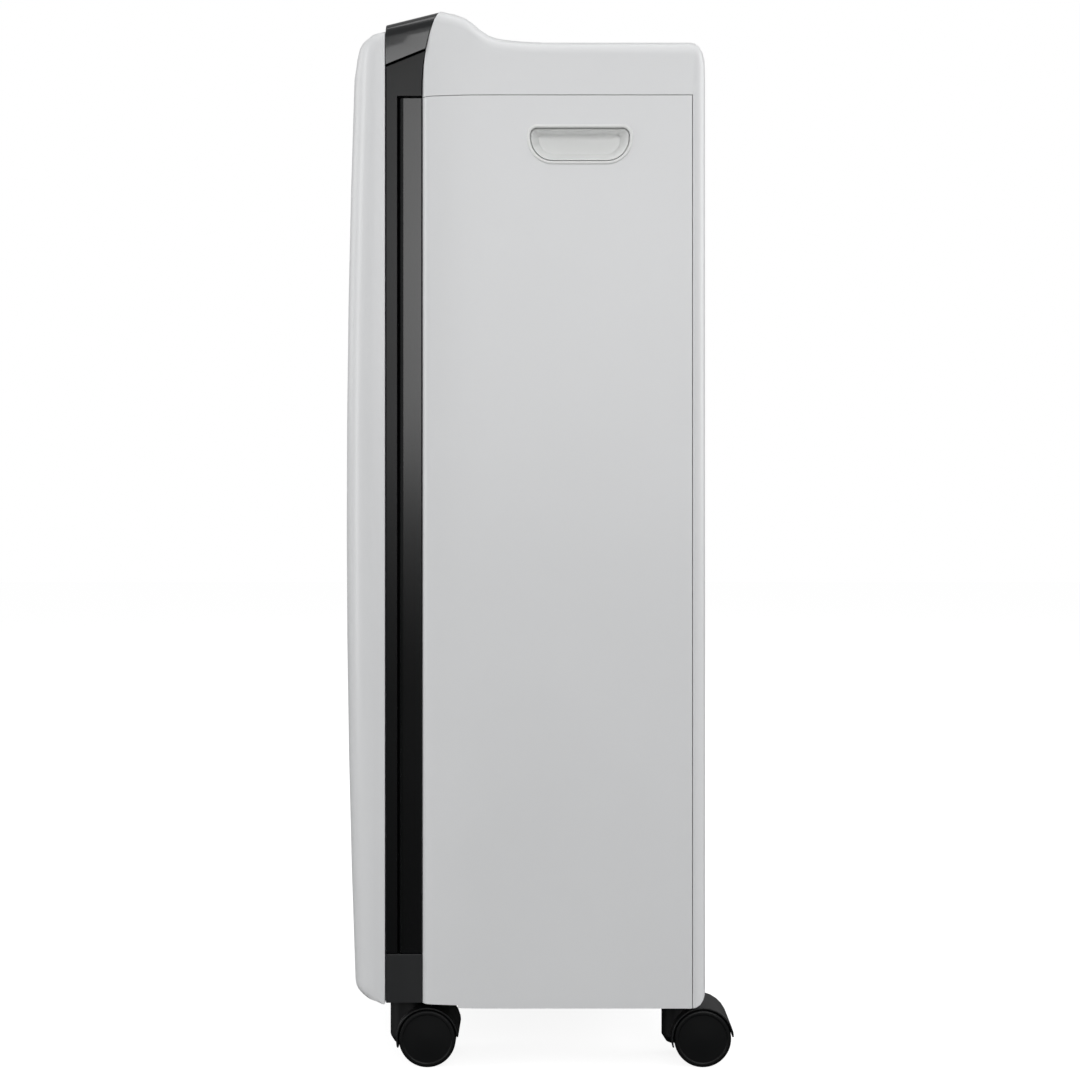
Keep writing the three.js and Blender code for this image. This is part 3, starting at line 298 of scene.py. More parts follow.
# Pale printed marks on the keys, and the lit segments of the display.
PALE_MARK = Finish("ink_pad_printed_grey", "#C9CDD0", 0.45, "black_satin", Surface.SATIN, 0.3, 0.002, 0.03)
LIT_SEGMENT = Finish(
    "led_segment_cool_white", "#CFE6F5", 0.3, "black_gloss", Surface.SATIN, 0.5, 0.001, 0.02, glow=1.1
)


# ---- mesh tools


def new_object(name: str, mesh: bpy.types.Mesh) -> Piece:
    """Links a new object with this mesh into the scene and returns it."""
    made = bpy.data.objects.new(name, mesh)
    bpy.context.scene.collection.objects.link(made)
    return made


def object_from(name: str, work: BMesh) -> Piece:
    """Turns a bmesh into an object of this name and frees it."""
    mesh = bpy.data.meshes.new(name)
    work.to_mesh(mesh)
    work.free()
    return new_object(name, mesh)


def mesh_from(name: str, build: Callable[[BMesh], None]) -> Piece:
    """Makes an object from a bmesh that a function fills.

    Args:
        name: the object's name.
        build: fills the empty bmesh.

    Returns:
        The object, with its doubles merged and its faces pointing outwards.
    """
    work = bmesh.new()
    build(work)
    bmesh.ops.remove_doubles(work, verts=work.verts, dist=0.001 * MM)
    bmesh.ops.recalc_face_normals(work, faces=work.faces)
    return object_from(name, work)


def skin_rings(work: BMesh, rings: Sequence[Ring], capped: bool = True) -> None:
    """Skins a row of closed rings of equal length.

    Args:
        work: the bmesh to add to.
        rings: the rings, each a list of points in metres.
        capped: whether the two ends are closed; otherwise the last ring joins the first.
    """
    rows = [[work.verts.new(p) for p in ring] for ring in rings]
    spans = list(zip(rows, rows[1:])) + ([] if capped else [(rows[-1], rows[0])])
    for a, b in spans:
        for i in range(len(a)):
            j = (i + 1) % len(a)
            work.faces.new((a[i], a[j], b[j], b[i]))
    if capped:
        work.faces.new(rows[0])
        work.faces.new(rows[-1])


def skinned(name: str, rings: Sequence[Ring], capped: bool = True) -> Piece:
    """Returns an object skinned over closed rings."""
    return mesh_from(name, lambda work: skin_rings(work, rings, capped))


def lathe_rings(profile: Outline, centre: Vector, axis: str, steps: int) -> list[Ring]:
    """Turns a profile about an axis.

    Args:
        profile: pairs of radius and place along the axis, in metres; no radius is nil.
        centre: a point on the axis.
        axis: "X", "Y" or "Z".
        steps: how many segments go round.

    Returns:
        One ring for each point of the profile.
    """
    across = {"X": (1, 2), "Y": (2, 0), "Z": (0, 1)}[axis]
    along = "XYZ".index(axis)
    rings = []
    for radius, place in profile:
        ring = []
        for i in range(steps):
            angle = 2 * math.pi * i / steps
            point = Vector(centre)
            point[along] += place
            point[across[0]] += radius * math.cos(angle)
            point[across[1]] += radius * math.sin(angle)
            ring.append(tuple(point))
        rings.append(ring)
    return rings


def rounded_outline(
    low: tuple[float, float],
    high: tuple[float, float],
    top_radius: float,
    foot_radius: float,
    steps: int = 10,
) -> Outline:
    """A rectangle with rounded corners.

    Args:
        low: its lowest corner.
        high: its highest corner.
        top_radius: the radius of the two upper corners.
        foot_radius: the radius of the two lower corners.
        steps: segments in each corner.

    Returns:
        The outline, anticlockwise.
    """
    corners = [
        (high[0] - top_radius, high[1] - top_radius, top_radius),
        (low[0] + top_radius, high[1] - top_radius, top_radius),
        (low[0] + foot_radius, low[1] + foot_radius, foot_radius),
        (high[0] - foot_radius, low[1] + foot_radius, foot_radius),
    ]
    outline = []
    for quarter, (a, b, radius) in enumerate(corners):
        for i in range(steps + 1):
            angle = (quarter + i / steps) * math.pi / 2
            outline.append((a + radius * math.cos(angle), b + radius * math.sin(angle)))
    return outline


def open_frame(
    name: str, low: Vector, high: Vector, border: float, rounds: tuple[float, float], steps: int = 10
) -> Piece:
    """Makes an upright frame with rounded corners inside and out.

    Args:
        name: the object's name.
        low: its lowest corner, in metres.
        high: its highest corner, in metres.
        border: how wide its bars are, in metres.
        rounds: the radius of its corners outside and inside, in metres.
        steps: segments in each corner.

    Returns:
        The frame.
    """
    outside, inside = rounds
    outer = rounded_outline((low.x, low.z), (high.x, high.z), outside, outside, steps)
    hole = (low.x + border, low.z + border), (high.x - border, high.z - border)
    inner = rounded_outline(*hole, inside, inside, steps)
    order = ((high.y, outer), (high.y, inner), (low.y, inner), (low.y, outer))
    return skinned(name, [[(x, y, z) for x, z in outline] for y, outline in order], capped=False)


def copy_of(node: str) -> Piece:
    """Returns a merged copy of a CAD node's mesh, as an object of its own."""
    work = bmesh.new()
    work.from_mesh(frame["nodes"][node].data)
    bmesh.ops.remove_doubles(work, verts=work.verts, dist=0.002 * MM)
    flat = math.radians(0.05)
    bmesh.ops.dissolve_limit(work, angle_limit=flat, verts=work.verts, edges=work.edges)
    return object_from(f"{node}_finished", work)


def apply_modifiers(piece: Piece) -> None:
    """Replaces a piece's mesh by its evaluated one and drops its modifiers."""
    evaluated = piece.evaluated_get(bpy.context.evaluated_depsgraph_get())
    mesh = bpy.data.meshes.new_from_object(evaluated)
    piece.modifiers.clear()
    piece.data = mesh


def soften(piece: Piece, width: float, angle: float = 32.0, segments: int = 2) -> None:
    """Breaks a piece's sharp edges with a small round and smooths the shading between them.

    Args:
        piece: the object.
        width: width of the round in millimetres; nil leaves the edges sharp.
        angle: edges that turn by more than this many degrees are sharp.
        segments: segments in the round.
    """
    for face in piece.data.polygons:
        face.use_smooth = True
    piece.data.set_sharp_from_angle(angle=math.radians(angle))
    if width:
        bevel = piece.modifiers.new("edge_round", "BEVEL")
        bevel.width = width * MM
        bevel.segments = segments
        bevel.limit_method = "ANGLE"
        bevel.angle_limit = math.radians(angle)
        bevel.use_clamp_overlap = True
        bevel.harden_normals = False
    weighted = piece.modifiers.new("flat_first", "WEIGHTED_NORMAL")
    weighted.keep_sharp = not width
    weighted.weight = 80
    apply_modifiers(piece)


def dress(
    piece: Piece, finish: Finish, body: str, replaced: Sequence[str] = ()
) -> Piece:
    """Gives a piece its finish, its body and the CAD nodes it stands for.

    Args:
        piece: the finished object.
        finish: its finish.
        body: the CAD body it moves with.
        replaced: CAD nodes that it stands for.

    Returns:
        The same object.
    """
    piece.data.materials.clear()
    piece.data.materials.append(finish.material())
    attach(piece, body)
    if replaced:
        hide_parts(*replaced)
    log.info("%s: %d faces, %s, on %s", piece.name, len(piece.data.polygons), finish.name, body)
    return piece


def refined(node: str, finish: Finish, width: float = 0.35, angle: float = 32.0) -> Piece:
    """Makes a refined copy of a CAD node, with softened edges, that stands for it.

    Args:
        node: the CAD node.
        finish: its finish.
        width: width of the edge round in millimetres.
        angle: edges that turn by more than this many degrees are sharp.

    Returns:
        The new piece.
    """
    bodies = frame["record"]["behaviour"]["bodies"]
    body = next(name for name, nodes in bodies.items() if node in nodes)
    piece = copy_of(node)
    soften(piece, width, angle)
    return dress(piece, finish, body, [node])


def span(node: str) -> tuple[Vector, Vector]:
    """The lowest and highest corner of a CAD node, as vectors."""
    low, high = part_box(node)
    return Vector(low), Vector(high)


# ---- geometry nodes


class Repeater:
    """A Geometry Nodes tree that sets copies of a shape on points, turned, and gives them a material."""

    def __init__(self, name: str, finish: Finish, source: Piece | None = None) -> None:
        """Builds the tree.

        Args:
            name: the tree's name.
            finish: what the copies are made of.
            source: the shape that is repeated; without one, it is a block of the Size input.
        """
        self.tree = bpy.data.node_groups.new(name, "GeometryNodeTree")
        face = self.tree.interface
        face.new_socket("Geometry", in_out="INPUT", socket_type="NodeSocketGeometry")
        self.sockets = {
            label: face.new_socket(label, in_out="INPUT", socket_type=f"NodeSocket{kind}").identifier
            for label, kind in (("Size", "Vector"), ("Turn", "Vector"), ("Turn Step", "Vector"))
        }
        face.new_socket("Geometry", in_out="OUTPUT", socket_type="NodeSocketGeometry")
        entry = add_node(self.tree, "NodeGroupInput")
        if source:
            shape = add_node(self.tree, "GeometryNodeObjectInfo", {"Object": source}).outputs["Geometry"]
        else:
            block = {"Size": entry.outputs["Size"]}
            shape = add_node(self.tree, "GeometryNodeMeshCube", block).outputs["Mesh"]
        index = add_node(self.tree, "GeometryNodeInputIndex").outputs["Index"]
        step = {0: entry.outputs["Turn Step"], "Scale": index}
        stepped = add_node(self.tree, "ShaderNodeVectorMath", step, operation="SCALE").outputs["Vector"]
        both = {0: stepped, 1: entry.outputs["Turn"]}
        turned = add_node(self.tree, "ShaderNodeVectorMath", both, operation="ADD").outputs["Vector"]
        laid = {"Points": entry.outputs["Geometry"], "Instance": shape, "Rotation": turned}
        copies = add_node(self.tree, "GeometryNodeInstanceOnPoints", laid).outputs["Instances"]
        real = add_node(self.tree, "GeometryNodeRealizeInstances", {"Geometry": copies}).outputs["Geometry"]
        made_of = {"Geometry": real, "Material": finish.material()}
        done = add_node(self.tree, "GeometryNodeSetMaterial", made_of)
        leave = add_node(self.tree, "NodeGroupOutput")
        self.tree.links.new(done.outputs["Geometry"], leave.inputs["Geometry"])

    def at(
        self,
        name: str,
        points: Iterable[Sequence[float]],
        size: Sequence[float] = (1.0, 1.0, 1.0),
        turn: Sequence[float] = (0.0, 0.0, 0.0),
        turn_step: Sequence[float] = (0.0, 0.0, 0.0),
    ) -> Piece:
        """Runs the tree on a set of points.

        Args:
            name: the new object's name.
            points: where the copies go, in metres.
            size: the size of a block, in metres.
            turn: how every copy is turned, in radians.
            turn_step: how much further each copy is turned than the one before it.

        Returns:
            A plain mesh object with all the copies.
        """
        mesh = bpy.data.meshes.new(name)
        mesh.from_pydata([tuple(p) for p in points], [], [])
        piece = new_object(name, mesh)
        modifier = piece.modifiers.new("repeat", "NODES")
        modifier.node_group = self.tree
        for label, value in (("Size", size), ("Turn", turn), ("Turn Step", turn_step)):
            modifier[self.sockets[label]] = tuple(float(v) for v in value)
        apply_modifiers(piece)
        return piece


def steps_between(start: Vector, stop: Vector, count: int) -> list[Vector]:
    """Points in equal steps from start to stop, both included."""
    return [start.lerp(stop, i / (count - 1)) for i in range(count)]


def joined(name: str, pieces: Sequence[Piece]) -> Piece:
    """Joins separate meshes into one object of this name and removes the originals."""
    work = bmesh.new()
    for piece in pieces:
        work.from_mesh(piece.data)
        bpy.data.objects.remove(piece)
    return object_from(name, work)


# ---- covers


@dataclass
class Covers:
    """The outer mouldings: front cover, black band, rear housing and side panels."""

    white_edge: float = 0.9
    black_edge: float = 0.5
    sides: tuple[str, ...] = ("right", "left")

    def build(self) -> Piece:
        """Refines the covers from the frame, with the edge rounds of a moulding, and returns the housing."""
        housing = refined("rear_housing", WHITE_ABS, self.white_edge, 38)
        refined("front_cover", WHITE_ABS, self.white_edge, 38)
        refined("front_frame", FRAME_BLACK, self.black_edge)
        refined("base_trim", SATIN_BLACK, self.black_edge)
        refined("base_pan", SPARKED_BLACK, 0.5)
        for side in self.sides:
            refined(f"side_panel_{side}", WHITE_ABS, self.white_edge)
            refined(f"side_trim_{side}", PIANO_BLACK, self.black_edge)
        return housing


@dataclass
class HandleCup:
    """A carry recess: a raised bead, a fine groove, leaning walls and a flat floor. Sizes in millimetres."""

    side: str
    bead: float = 2.2
    groove: float = 0.9
    groove_deep: float = 4.0
    top_corner: float = 5.0
    foot_corner: float = 16.0
    top_lean: float = 0.6
    side_lean: float = 4.5
    foot_lean: float = 6.2
    floor_round: float = 1.2
    wall: float = 2.5
    proud: float = 0.8
    round_steps: int = 5
    bead_steps: int = 9

    def build(self) -> None:
        """Skins one closed form: floor, leaning wall, groove, bead, skirt and back."""
        node = f"handle_cup_{self.side}"
        low, high = span(node)
        sign = 1 if self.side == "right" else -1
        crown = (high.x if sign > 0 else -low.x) / MM
        back = (low.x if sign > 0 else -high.x) / MM
        floor = back + self.wall

        def ring(out: float, grow: float, lean: float = 0.0) -> Ring:
            """The mouth's outline at a place out from the middle plane, grown, and leaning by a share."""
            inset = self.bead - grow
            foot = low.z / MM + inset + lean * self.foot_lean
            top = high.z / MM - inset - lean * self.top_lean
            top_round = max(self.top_corner + grow - lean, 0.6)
            foot_round = min(self.foot_corner + grow - 2 * lean, top - foot - top_round - 0.1)
            front = low.y / MM + inset + lean * self.side_lean
            rear = high.y / MM - inset - lean * self.side_lean
            outline = rounded_outline((front, foot), (rear, top), top_round, foot_round)
            return [(sign * out * MM, y * MM, z * MM) for y, z in outline]

        lip = crown - self.proud
        rings = [ring(floor, -self.groove - self.floor_round, 1.0)]
        for i in range(1, self.round_steps + 1):
            angle = i / self.round_steps * math.pi / 2
            rise, inward = (self.floor_round * (1 - turn(angle)) for turn in (math.cos, math.sin))
            rings.append(ring(floor + rise, -self.groove - inward, 1.0))
        rings += [
            ring(lip - 0.6, -self.groove - 0.2, 0.0),
            ring(lip - 0.4, -self.groove),
            ring(lip - self.groove_deep, -self.groove),
            ring(lip - self.groove_deep, 0.0),
            ring(lip, 0.0),
        ]
        for i in range(1, self.bead_steps + 1):
            angle = i / self.bead_steps * math.pi
            rings.append(ring(lip + self.proud * math.sin(angle), self.bead / 2 * (1 - math.cos(angle))))
        rings += [
            ring(lip - 0.3, self.bead),
            ring(lip - 0.3, self.bead / 2),
            ring(back, self.bead / 4),
            ring(back, -self.groove - self.floor_round, 1.0),
        ]
        piece = skinned(f"{node}_finished", rings)
        soften(piece, 0, 50)
        # The recess takes the lighter white: painted light that offsets the shade falling inside it.
        dress(piece, WHITE_ABS_PAINTED_LIGHT, "housing", [node])


# ---- control cap


@dataclass
class ControlCap:
    """The smoked cap with its display, keys and board. Sizes in millimetres."""

    keys: tuple[str, ...] = ("power", "mode", "timer", "lower", "raise")
    segment: float = 1.0
    digit_width: float = 5.2
    digit_height: float = 9.6
    digit_shift: float = 4.6
    display_lift: float = 1.0
    key_round: float = 18.0
    slope: float = math.atan2(9.5, 38.5)

    def build(self) -> None:
        """Refines the cap and its parts, and adds the display's digits and the marks on the keys."""
        refined("control_panel", SMOKED_CAP, 0.6)
        refined("display_window", PIANO_BLACK, 0.3)
        refined("control_board", CIRCUIT_BOARD, 0.2)
        for key in self.keys:
            refined(f"{key}_button", SATIN_BLACK, 0.6)
            self._mark(key)
        self._digits()

    def _plates(self, name: str, node: str, lift: float, outlines: Sequence[Outline], thick: float) -> Piece:
        """Makes thin plates on a piece's sloping face.

        Args:
            name: the new object's name.
            node: the CAD node that carries them.
            lift: how far its face lies above its middle, in metres.
            outlines: their outlines, sideways and up the slope.
            thick: how far they stand proud.

        Returns:
            One object with all the plates.
        """
        low, high = span(node)
        tilt = Matrix.Rotation(self.slope, 4, "X")
        centre = (low + high) / 2 + tilt @ Vector((0, 0, lift))

        def build(work: BMesh) -> None:
            """Fills the bmesh with one plate for each outline."""
            for outline in outlines:
                skin_rings(
                    work,
                    [
                        [tuple(centre + tilt @ Vector((x * MM, v * MM, h * MM))) for x, v in outline]
                        for h in (-0.05, thick)
                    ],
                )

        return mesh_from(name, build)

    def _mark(self, key: str) -> None:
        """Adds a plain printed symbol to a key."""
        low, high = span(f"{key}_button")
        lift = ((high - low).z - self.key_round * MM * math.sin(self.slope)) / 2
        whole = 2 * math.pi - 0.01
        shapes: dict[str, list[Outline]] = {
            "power": [self._arc(3.0, 0.6, math.pi / 2 + 0.5, 2 * math.pi - 1.0), self._bar(0, 2.6, 0.6, 2.6)],
            "mode": [self._arc(3.0, 0.6, 0, whole)],
            "timer": [self._arc(3.2, 0.5, 0, whole), self._bar(0, 0.9, 0.5, 2.0)],
            "lower": [self._bar(0, 0, 5.0, 0.8)],
            "raise": [self._bar(0, 0, 5.0, 0.8), self._bar(0, 0, 0.8, 5.0)],
        }
        dress(self._plates(f"{key}_mark", f"{key}_button", lift, shapes[key], 0.06), PALE_MARK, f"{key}_key")

    @staticmethod
    def _bar(x: float, v: float, width: float, height: float) -> Outline:
        """The outline of a bar about a middle point."""
        corners = ((-1, -1), (1, -1), (1, 1), (-1, 1))
        return [(x + a * width / 2, v + b * height / 2) for a, b in corners]

    @staticmethod
    def _arc(radius: float, width: float, start: float, sweep: float, steps: int = 24) -> Outline:
        """The outline of a curved stroke from an angle on."""
        angles = [start + sweep * i / steps for i in range(steps + 1)]
        outside, inside = radius + width / 2, radius - width / 2
        outer = [(outside * math.cos(a), outside * math.sin(a)) for a in angles]
        return outer + [(inside * math.cos(a), inside * math.sin(a)) for a in reversed(angles)]

    def _digits(self) -> None:
        """Adds two seven-segment digits, both a five, to the display."""
        w, h, t = self.digit_width / 2, self.digit_height / 2, self.segment
        level, upright = (2 * w - t, t), (t, h - t)
        lit = [(0, h, *level), (-w, h / 2, *upright), (0, 0, *level), (w, -h / 2, *upright), (0, -h, *level)]
        shifts = (-self.digit_shift, self.digit_shift)
        bars = [self._bar(x + shift, v, width, height) for shift in shifts for x, v, width, height in lit]
        piece = self._plates("display_digits", "display_window", self.display_lift * MM, bars, 0.05)
        dress(piece, LIT_SEGMENT, "housing")


# ---- casters


@dataclass
class Caster:
    """A twin-wheel caster. Sizes in millimetres."""

    name: str
    radius: float = 20.0
    rim_round: float = 1.6
    segments: int = 72
    # Radius, and how far below the face: the dish and the hub cap outside, the hollow web inside.
    dish: Outline = ((17.4, 0), (17.0, 0.5), (16.4, 0.55), (11.0, 0.35), (5.0, 0.1), (0.2, 0))
    web: Outline = ((0.2, 0), (6.0, 0), (7.0, 1.5), (15.0, 2.2), (16.5, 0))

    def build(self) -> None:
        """Refines the hood, stem and axle and turns the two wheels."""
        refined(f"{self.name}_hood", SPARKED_BLACK, 0.35, 28)
        refined(f"{self.name}_stem", ZINC_STEEL, 0.3)
        refined(f"{self.name}_axle", ZINC_STEEL, 0.2)
        for place in ("outer", "inner"):
            self._wheel(place)

    def _wheel(self, place: str) -> None:
        """Turns one wheel: rounded tread, a shallow dish and a domed hub cap.

        Args:
            place: "outer" or "inner".
        """
        node = f"{self.name}_wheel_{place}"
        low, high = span(node)
        centre = (low + high) / 2
        axle_low, axle_high = span(f"{self.name}_axle")
        outward = 1 if centre.x > (axle_low.x + axle_high.x) / 2 else -1
        half = (high.x - low.x) / 2 / MM
        edge = self.rim_round
        tread = [
            (self.radius - edge + edge * math.cos(a), half - edge + edge * math.sin(a))
            for a in (i * math.pi / 12 for i in range(7))
        ]
        back = [(r, -x) for r, x in reversed(tread)]
        face = [(r, half - deep) for r, deep in self.dish]
        web = [(r, -half + deep) for r, deep in self.web]
        profile = [(r * MM, outward * x * MM) for r, x in web + back + tread + face]
        piece = skinned(f"{node}_finished", lathe_rings(profile, centre, "X", self.segments))
        soften(piece, 0, 50)
        dress(piece, NYLON_TREAD, f"{self.name}_wheels", [node])


# ---- grilles and filter


@dataclass
class IntakeDoor:
    """The pull-off door over the intake: frame, tilted slats and net filter. Sizes in millimetres."""

    border: float = 16.0
    slats: int = 27
    slat_deep: float = 2.6
    slat_thick: float = 3.4
    posts: int = 4
    slat_tilt: float = -24.0
    posts_wide: float = 2.4
    posts_deep: float = 2.0
    lap: float = 2.0
    corner: float = 9.6
    filter_border: float = 7.0
    net_pitch: float = 4.0
    thread: float = 0.7

    def build(self) -> None:
        """Builds the door from a frame, slats and posts, and the filter from a frame and a net."""
        low, high = span("intake_grille")
        mid_y = (low.y + high.y) / 2
        inner_low = Vector((low.x + self.border * MM, mid_y, low.z + self.border * MM))
        inner_high = Vector((high.x - self.border * MM, mid_y, high.z - self.border * MM))
        ring = open_frame("intake_frame", low, high, self.border * MM, (self.corner * MM, 4 * MM))
        width = inner_high.x - inner_low.x + self.lap * MM
        pitch = (inner_high.z - inner_low.z) / self.slats
        bars = Repeater("slat_row", WHITE_ABS)
        start = Vector((0, mid_y, inner_low.z + pitch / 2))
        stop = Vector((0, mid_y, inner_high.z - pitch / 2))
        slats = bars.at(
            "intake_slats",
            steps_between(start, stop, self.slats),
            (width, self.slat_deep * MM, self.slat_thick * MM),
            (math.radians(self.slat_tilt), 0, 0),
        )
        far_end = Vector((inner_high.x, mid_y, inner_low.z))
        first = inner_low.lerp(far_end, 1 / (self.posts + 1))
        last = inner_low.lerp(far_end, self.posts / (self.posts + 1))
        first.z = last.z = (inner_low.z + inner_high.z) / 2
        posts = bars.at(
            "intake_posts",
            steps_between(first, last, self.posts),
            (self.posts_wide * MM, self.posts_deep * MM, inner_high.z - inner_low.z + self.lap * MM),
        )
        soften(slats, 0.5)
        soften(posts, 0.3)
        soften(ring, 0.5)
        dress(ring, WHITE_ABS, "intake_door", ["intake_grille"])
        dress(slats, WHITE_ABS, "intake_door")
        dress(posts, WHITE_ABS, "intake_door")
        self._filter()

    def _filter(self) -> None:
        """Builds the filter: a frame and a net of fine threads."""
        low, high = span("air_filter")
        border, thread = self.filter_border * MM, self.thread * MM
        edge = open_frame("filter_frame", low, high, border, (8 * MM, 3 * MM), 5)
        soften(edge, 0.5)
        dress(edge, SATIN_BLACK, "intake_door", ["air_filter"])
        threads = Repeater("thread_rows", NYLON_NET)
        across, tall = high.x - low.x - border, high.z - low.z - border
        count_x, count_z = int(across / (self.net_pitch * MM)), int(tall / (self.net_pitch * MM))
        middle = Vector((0, (low.y + high.y) / 2, (low.z + high.z) / 2))
        sideways, behind, up = Vector((across / 2, 0, 0)), Vector((0, thread, 0)), Vector((0, 0, tall / 2))
        upright = threads.at(
            "net_upright",
            steps_between(middle - sideways, middle + sideways, count_x),
            (thread, thread, tall),
        )
        level = threads.at(
            "net_level",
            steps_between(middle + behind - up, middle + behind + up, count_z),
            (across, thread, thread),
        )
        dress(joined("filter_net", [upright, level]), NYLON_NET, "intake_door")


@dataclass
class Outlet:
    """The outlet's flap and the fins under it. Sizes in millimetres."""

    fins: int = 26
    end_gap: float = 9.0
    drop: float = 4.0
    size: Point = (1.2, 8.0, 8.0)
    tilt: float = 12.0

    def build(self) -> None:
        """Refines the flap and the grille, and sets a row of short fins under the grille."""
        refined("louver_flap", WHITE_ABS, 0.5)
        refined("outlet_grille", SPARKED_BLACK, 0.3)
        low, high = span("outlet_grille")
        middle_y, height = ((low + high) / 2).y, low.z - self.drop * MM
        gap = self.end_gap * MM
        ends = (Vector((x, middle_y, height)) for x in (low.x + gap, high.x - gap))
        thick, clear, tall = (length * MM for length in self.size)
        fins = Repeater("fin_row", SPARKED_BLACK).at(
            "outlet_fins",
            steps_between(*ends, self.fins),
            (thick, high.y - low.y - clear, tall),
            (0, math.radians(self.tilt), 0),
        )
        dress(fins, SPARKED_BLACK, "housing")


# ---- inside


@dataclass
class Coil:
    """A finned coil: a stack of thin fins on tubes, with the tubes' return bends. Sizes in millimetres."""

    name: str
    fin_pitch: float = 2.4
    fin_thick: float = 0.35
    plate_gap: float = 2.0
    plate_thick: float = 1.2
    end_room: float = 12.0
    tube: float = 4.6
    rows: int = 12
    tube_reach: float = 3.0
    bend_reach: float = 7.0
    bend_steps: int = 6

    def build(self) -> None:
        """Builds fins, end plates, tubes and return bends."""
        node = f"{self.name}_coil"
        low, high = span(node)
        middle = (low + high) / 2
        room = self.end_room * MM
        left, right = (Vector((x, middle.y, middle.z)) for x in (low.x + room, high.x - room))
        deep, tall = high.y - low.y, high.z - low.z
        count = int((right.x - left.x) / (self.fin_pitch * MM))
        fins = Repeater(f"{self.name}_fins", FIN_STOCK).at(
            f"{self.name}_fin_stack", steps_between(left, right, count), (self.fin_thick * MM, deep, tall)
        )
        dress(fins, FIN_STOCK, "housing", [node])
        gap = Vector((self.plate_gap * MM, 0, 0))
        plates = Repeater(f"{self.name}_plates", ZINC_STEEL).at(
            f"{self.name}_end_plates", [left - gap, right + gap], (self.plate_thick * MM, deep, tall)
        )
        dress(plates, ZINC_STEEL, "housing")
        path = self._tube_path(left, right, low.z, tall / self.rows)
        tubes = mesh_from(f"{self.name}_tubes", lambda work: sweep_path(work, path, self.tube / 2 * MM, 8))
        soften(tubes, 0, 60)
        dress(tubes, COPPER_TUBE, "housing")

    def _tube_path(self, left: Vector, right: Vector, foot: float, pitch: float) -> list[Vector]:
        """Runs to and fro through the fins, one row above the other.

        Args:
            left: the left end of the fins.
            right: the right end of the fins.
            foot: the height of the coil's foot.
            pitch: the height of a row.

        Returns:
            The points of the path, with its bends.
        """
        path: list[Vector] = []
        ends = (left.x - self.tube_reach * MM, right.x + self.tube_reach * MM)
        for row in range(self.rows):
            z = foot + pitch * (row + 0.5)
            start, stop = ends if row % 2 == 0 else ends[::-1]
            path += [Vector((x, left.y, z)) for x in (start, stop)]
            if row + 1 == self.rows:
                break
            side = 1 if stop > start else -1
            for step in range(1, self.bend_steps):
                angle = step / self.bend_steps * math.pi
                out = side * math.sin(angle) * self.bend_reach * MM
                path.append(Vector((stop + out, left.y, z + pitch * (1 - math.cos(angle)) / 2)))
        return path


def sweep_path(work: BMesh, path: Sequence[Vector], radius: float, sides: int) -> None:
    """Sweeps a round section along a path that stays in one plane of constant y.

    Args:
        work: the bmesh to add to.
        path: points in metres.
        radius: the section's radius in metres.
        sides: the section's number of sides.
    """
    angles = [2 * math.pi * k / sides for k in range(sides)]
    side = Vector((0, 1, 0))
    rings = []
    for i, point in enumerate(path):
        before, after = path[max(i - 1, 0)], path[min(i + 1, len(path) - 1)]
        up = (after - before).normalized().cross(side).normalized()
        rings.append([tuple(point + radius * (math.cos(a) * side + math.sin(a) * up)) for a in angles])
    skin_rings(work, rings)


@dataclass
class Works:
    """Everything inside: chassis, refrigeration circuit, blower and motor. Sizes in millimetres."""

    vanes: int = 42
    vane: tuple[float, float] = (13.0, 1.1)
    vane_tilt: float = 35.0
    vane_inset: float = 8.0
    bore: float = 5.0
    # Radius, and how far in front of the back plate's rear face.
    hub: Outline = ((34, 3), (20, 22))
    hub_high: float = 24.0
    plate: float = 1.6

    def build(self) -> None:
        """Refines the inner nodes and builds the coils and the blower's vanes."""
        refined("inner_chassis", GREY_PP, 0.4)
        refined("drain_tray", GREY_PP, 0.4)
        refined("fan_scroll", GREY_PP, 0.4, 40)
        refined("compressor", BLACK_ENAMEL, 0.6, 40)
        refined("fan_motor", ZINC_STEEL, 0.8)
        refined("fan_shaft", ZINC_STEEL, 0.3)
        for pipe in ("discharge_pipe", "suction_pipe"):
            refined(pipe, COPPER_TUBE, 0, 50)
        for name in ("evaporator", "condenser"):
            Coil(name).build()
        self._blower()

    def _blower(self) -> None:
        """Builds the blower wheel: back plate and hub turned, vanes repeated round it, and a front ring."""
        low, high = span("blower_wheel")
        centre = (low + high) / 2
        radius = (high.z - low.z) / 2 * 0.985
        back, front = low.y - centre.y, high.y - centre.y
        bore = self.bore * MM
        hub = [(bore, back), (radius, back), (radius, back + self.plate * MM)]
        hub += [(r * MM, back + ahead * MM) for r, ahead in self.hub] + [(bore, back + self.hub_high * MM)]
        plate = skinned("blower_hub", lathe_rings(hub, centre, "Y", 48), capped=False)
        foot, thick = radius - bore, 4 * MM
        rim = [(foot, front - thick), (radius, front - thick), (radius, front), (radius - thick, front)]
        ring = skinned("blower_rim", lathe_rings(rim, centre, "Y", 48), capped=False)
        turn = 2 * math.pi / self.vanes
        reach = radius - self.vane_inset * MM
        angles = [-i * turn for i in range(self.vanes)]
        points = [centre + Vector((reach * math.cos(a), 0, reach * math.sin(a))) for a in angles]
        chord, thin = self.vane
        vanes = Repeater("vane_ring", SPARKED_BLACK).at(
            "blower_vanes",
            points,
            (chord * MM, front - back - 2 * MM, thin * MM),
            (0, math.radians(self.vane_tilt), 0),
            (0, turn, 0),
        )
        wheel = joined("blower_finished", [plate, ring, vanes])
        soften(wheel, 0, 40)
        dress(wheel, SPARKED_BLACK, "blower", ["blower_wheel"])


# ---- water bucket and back


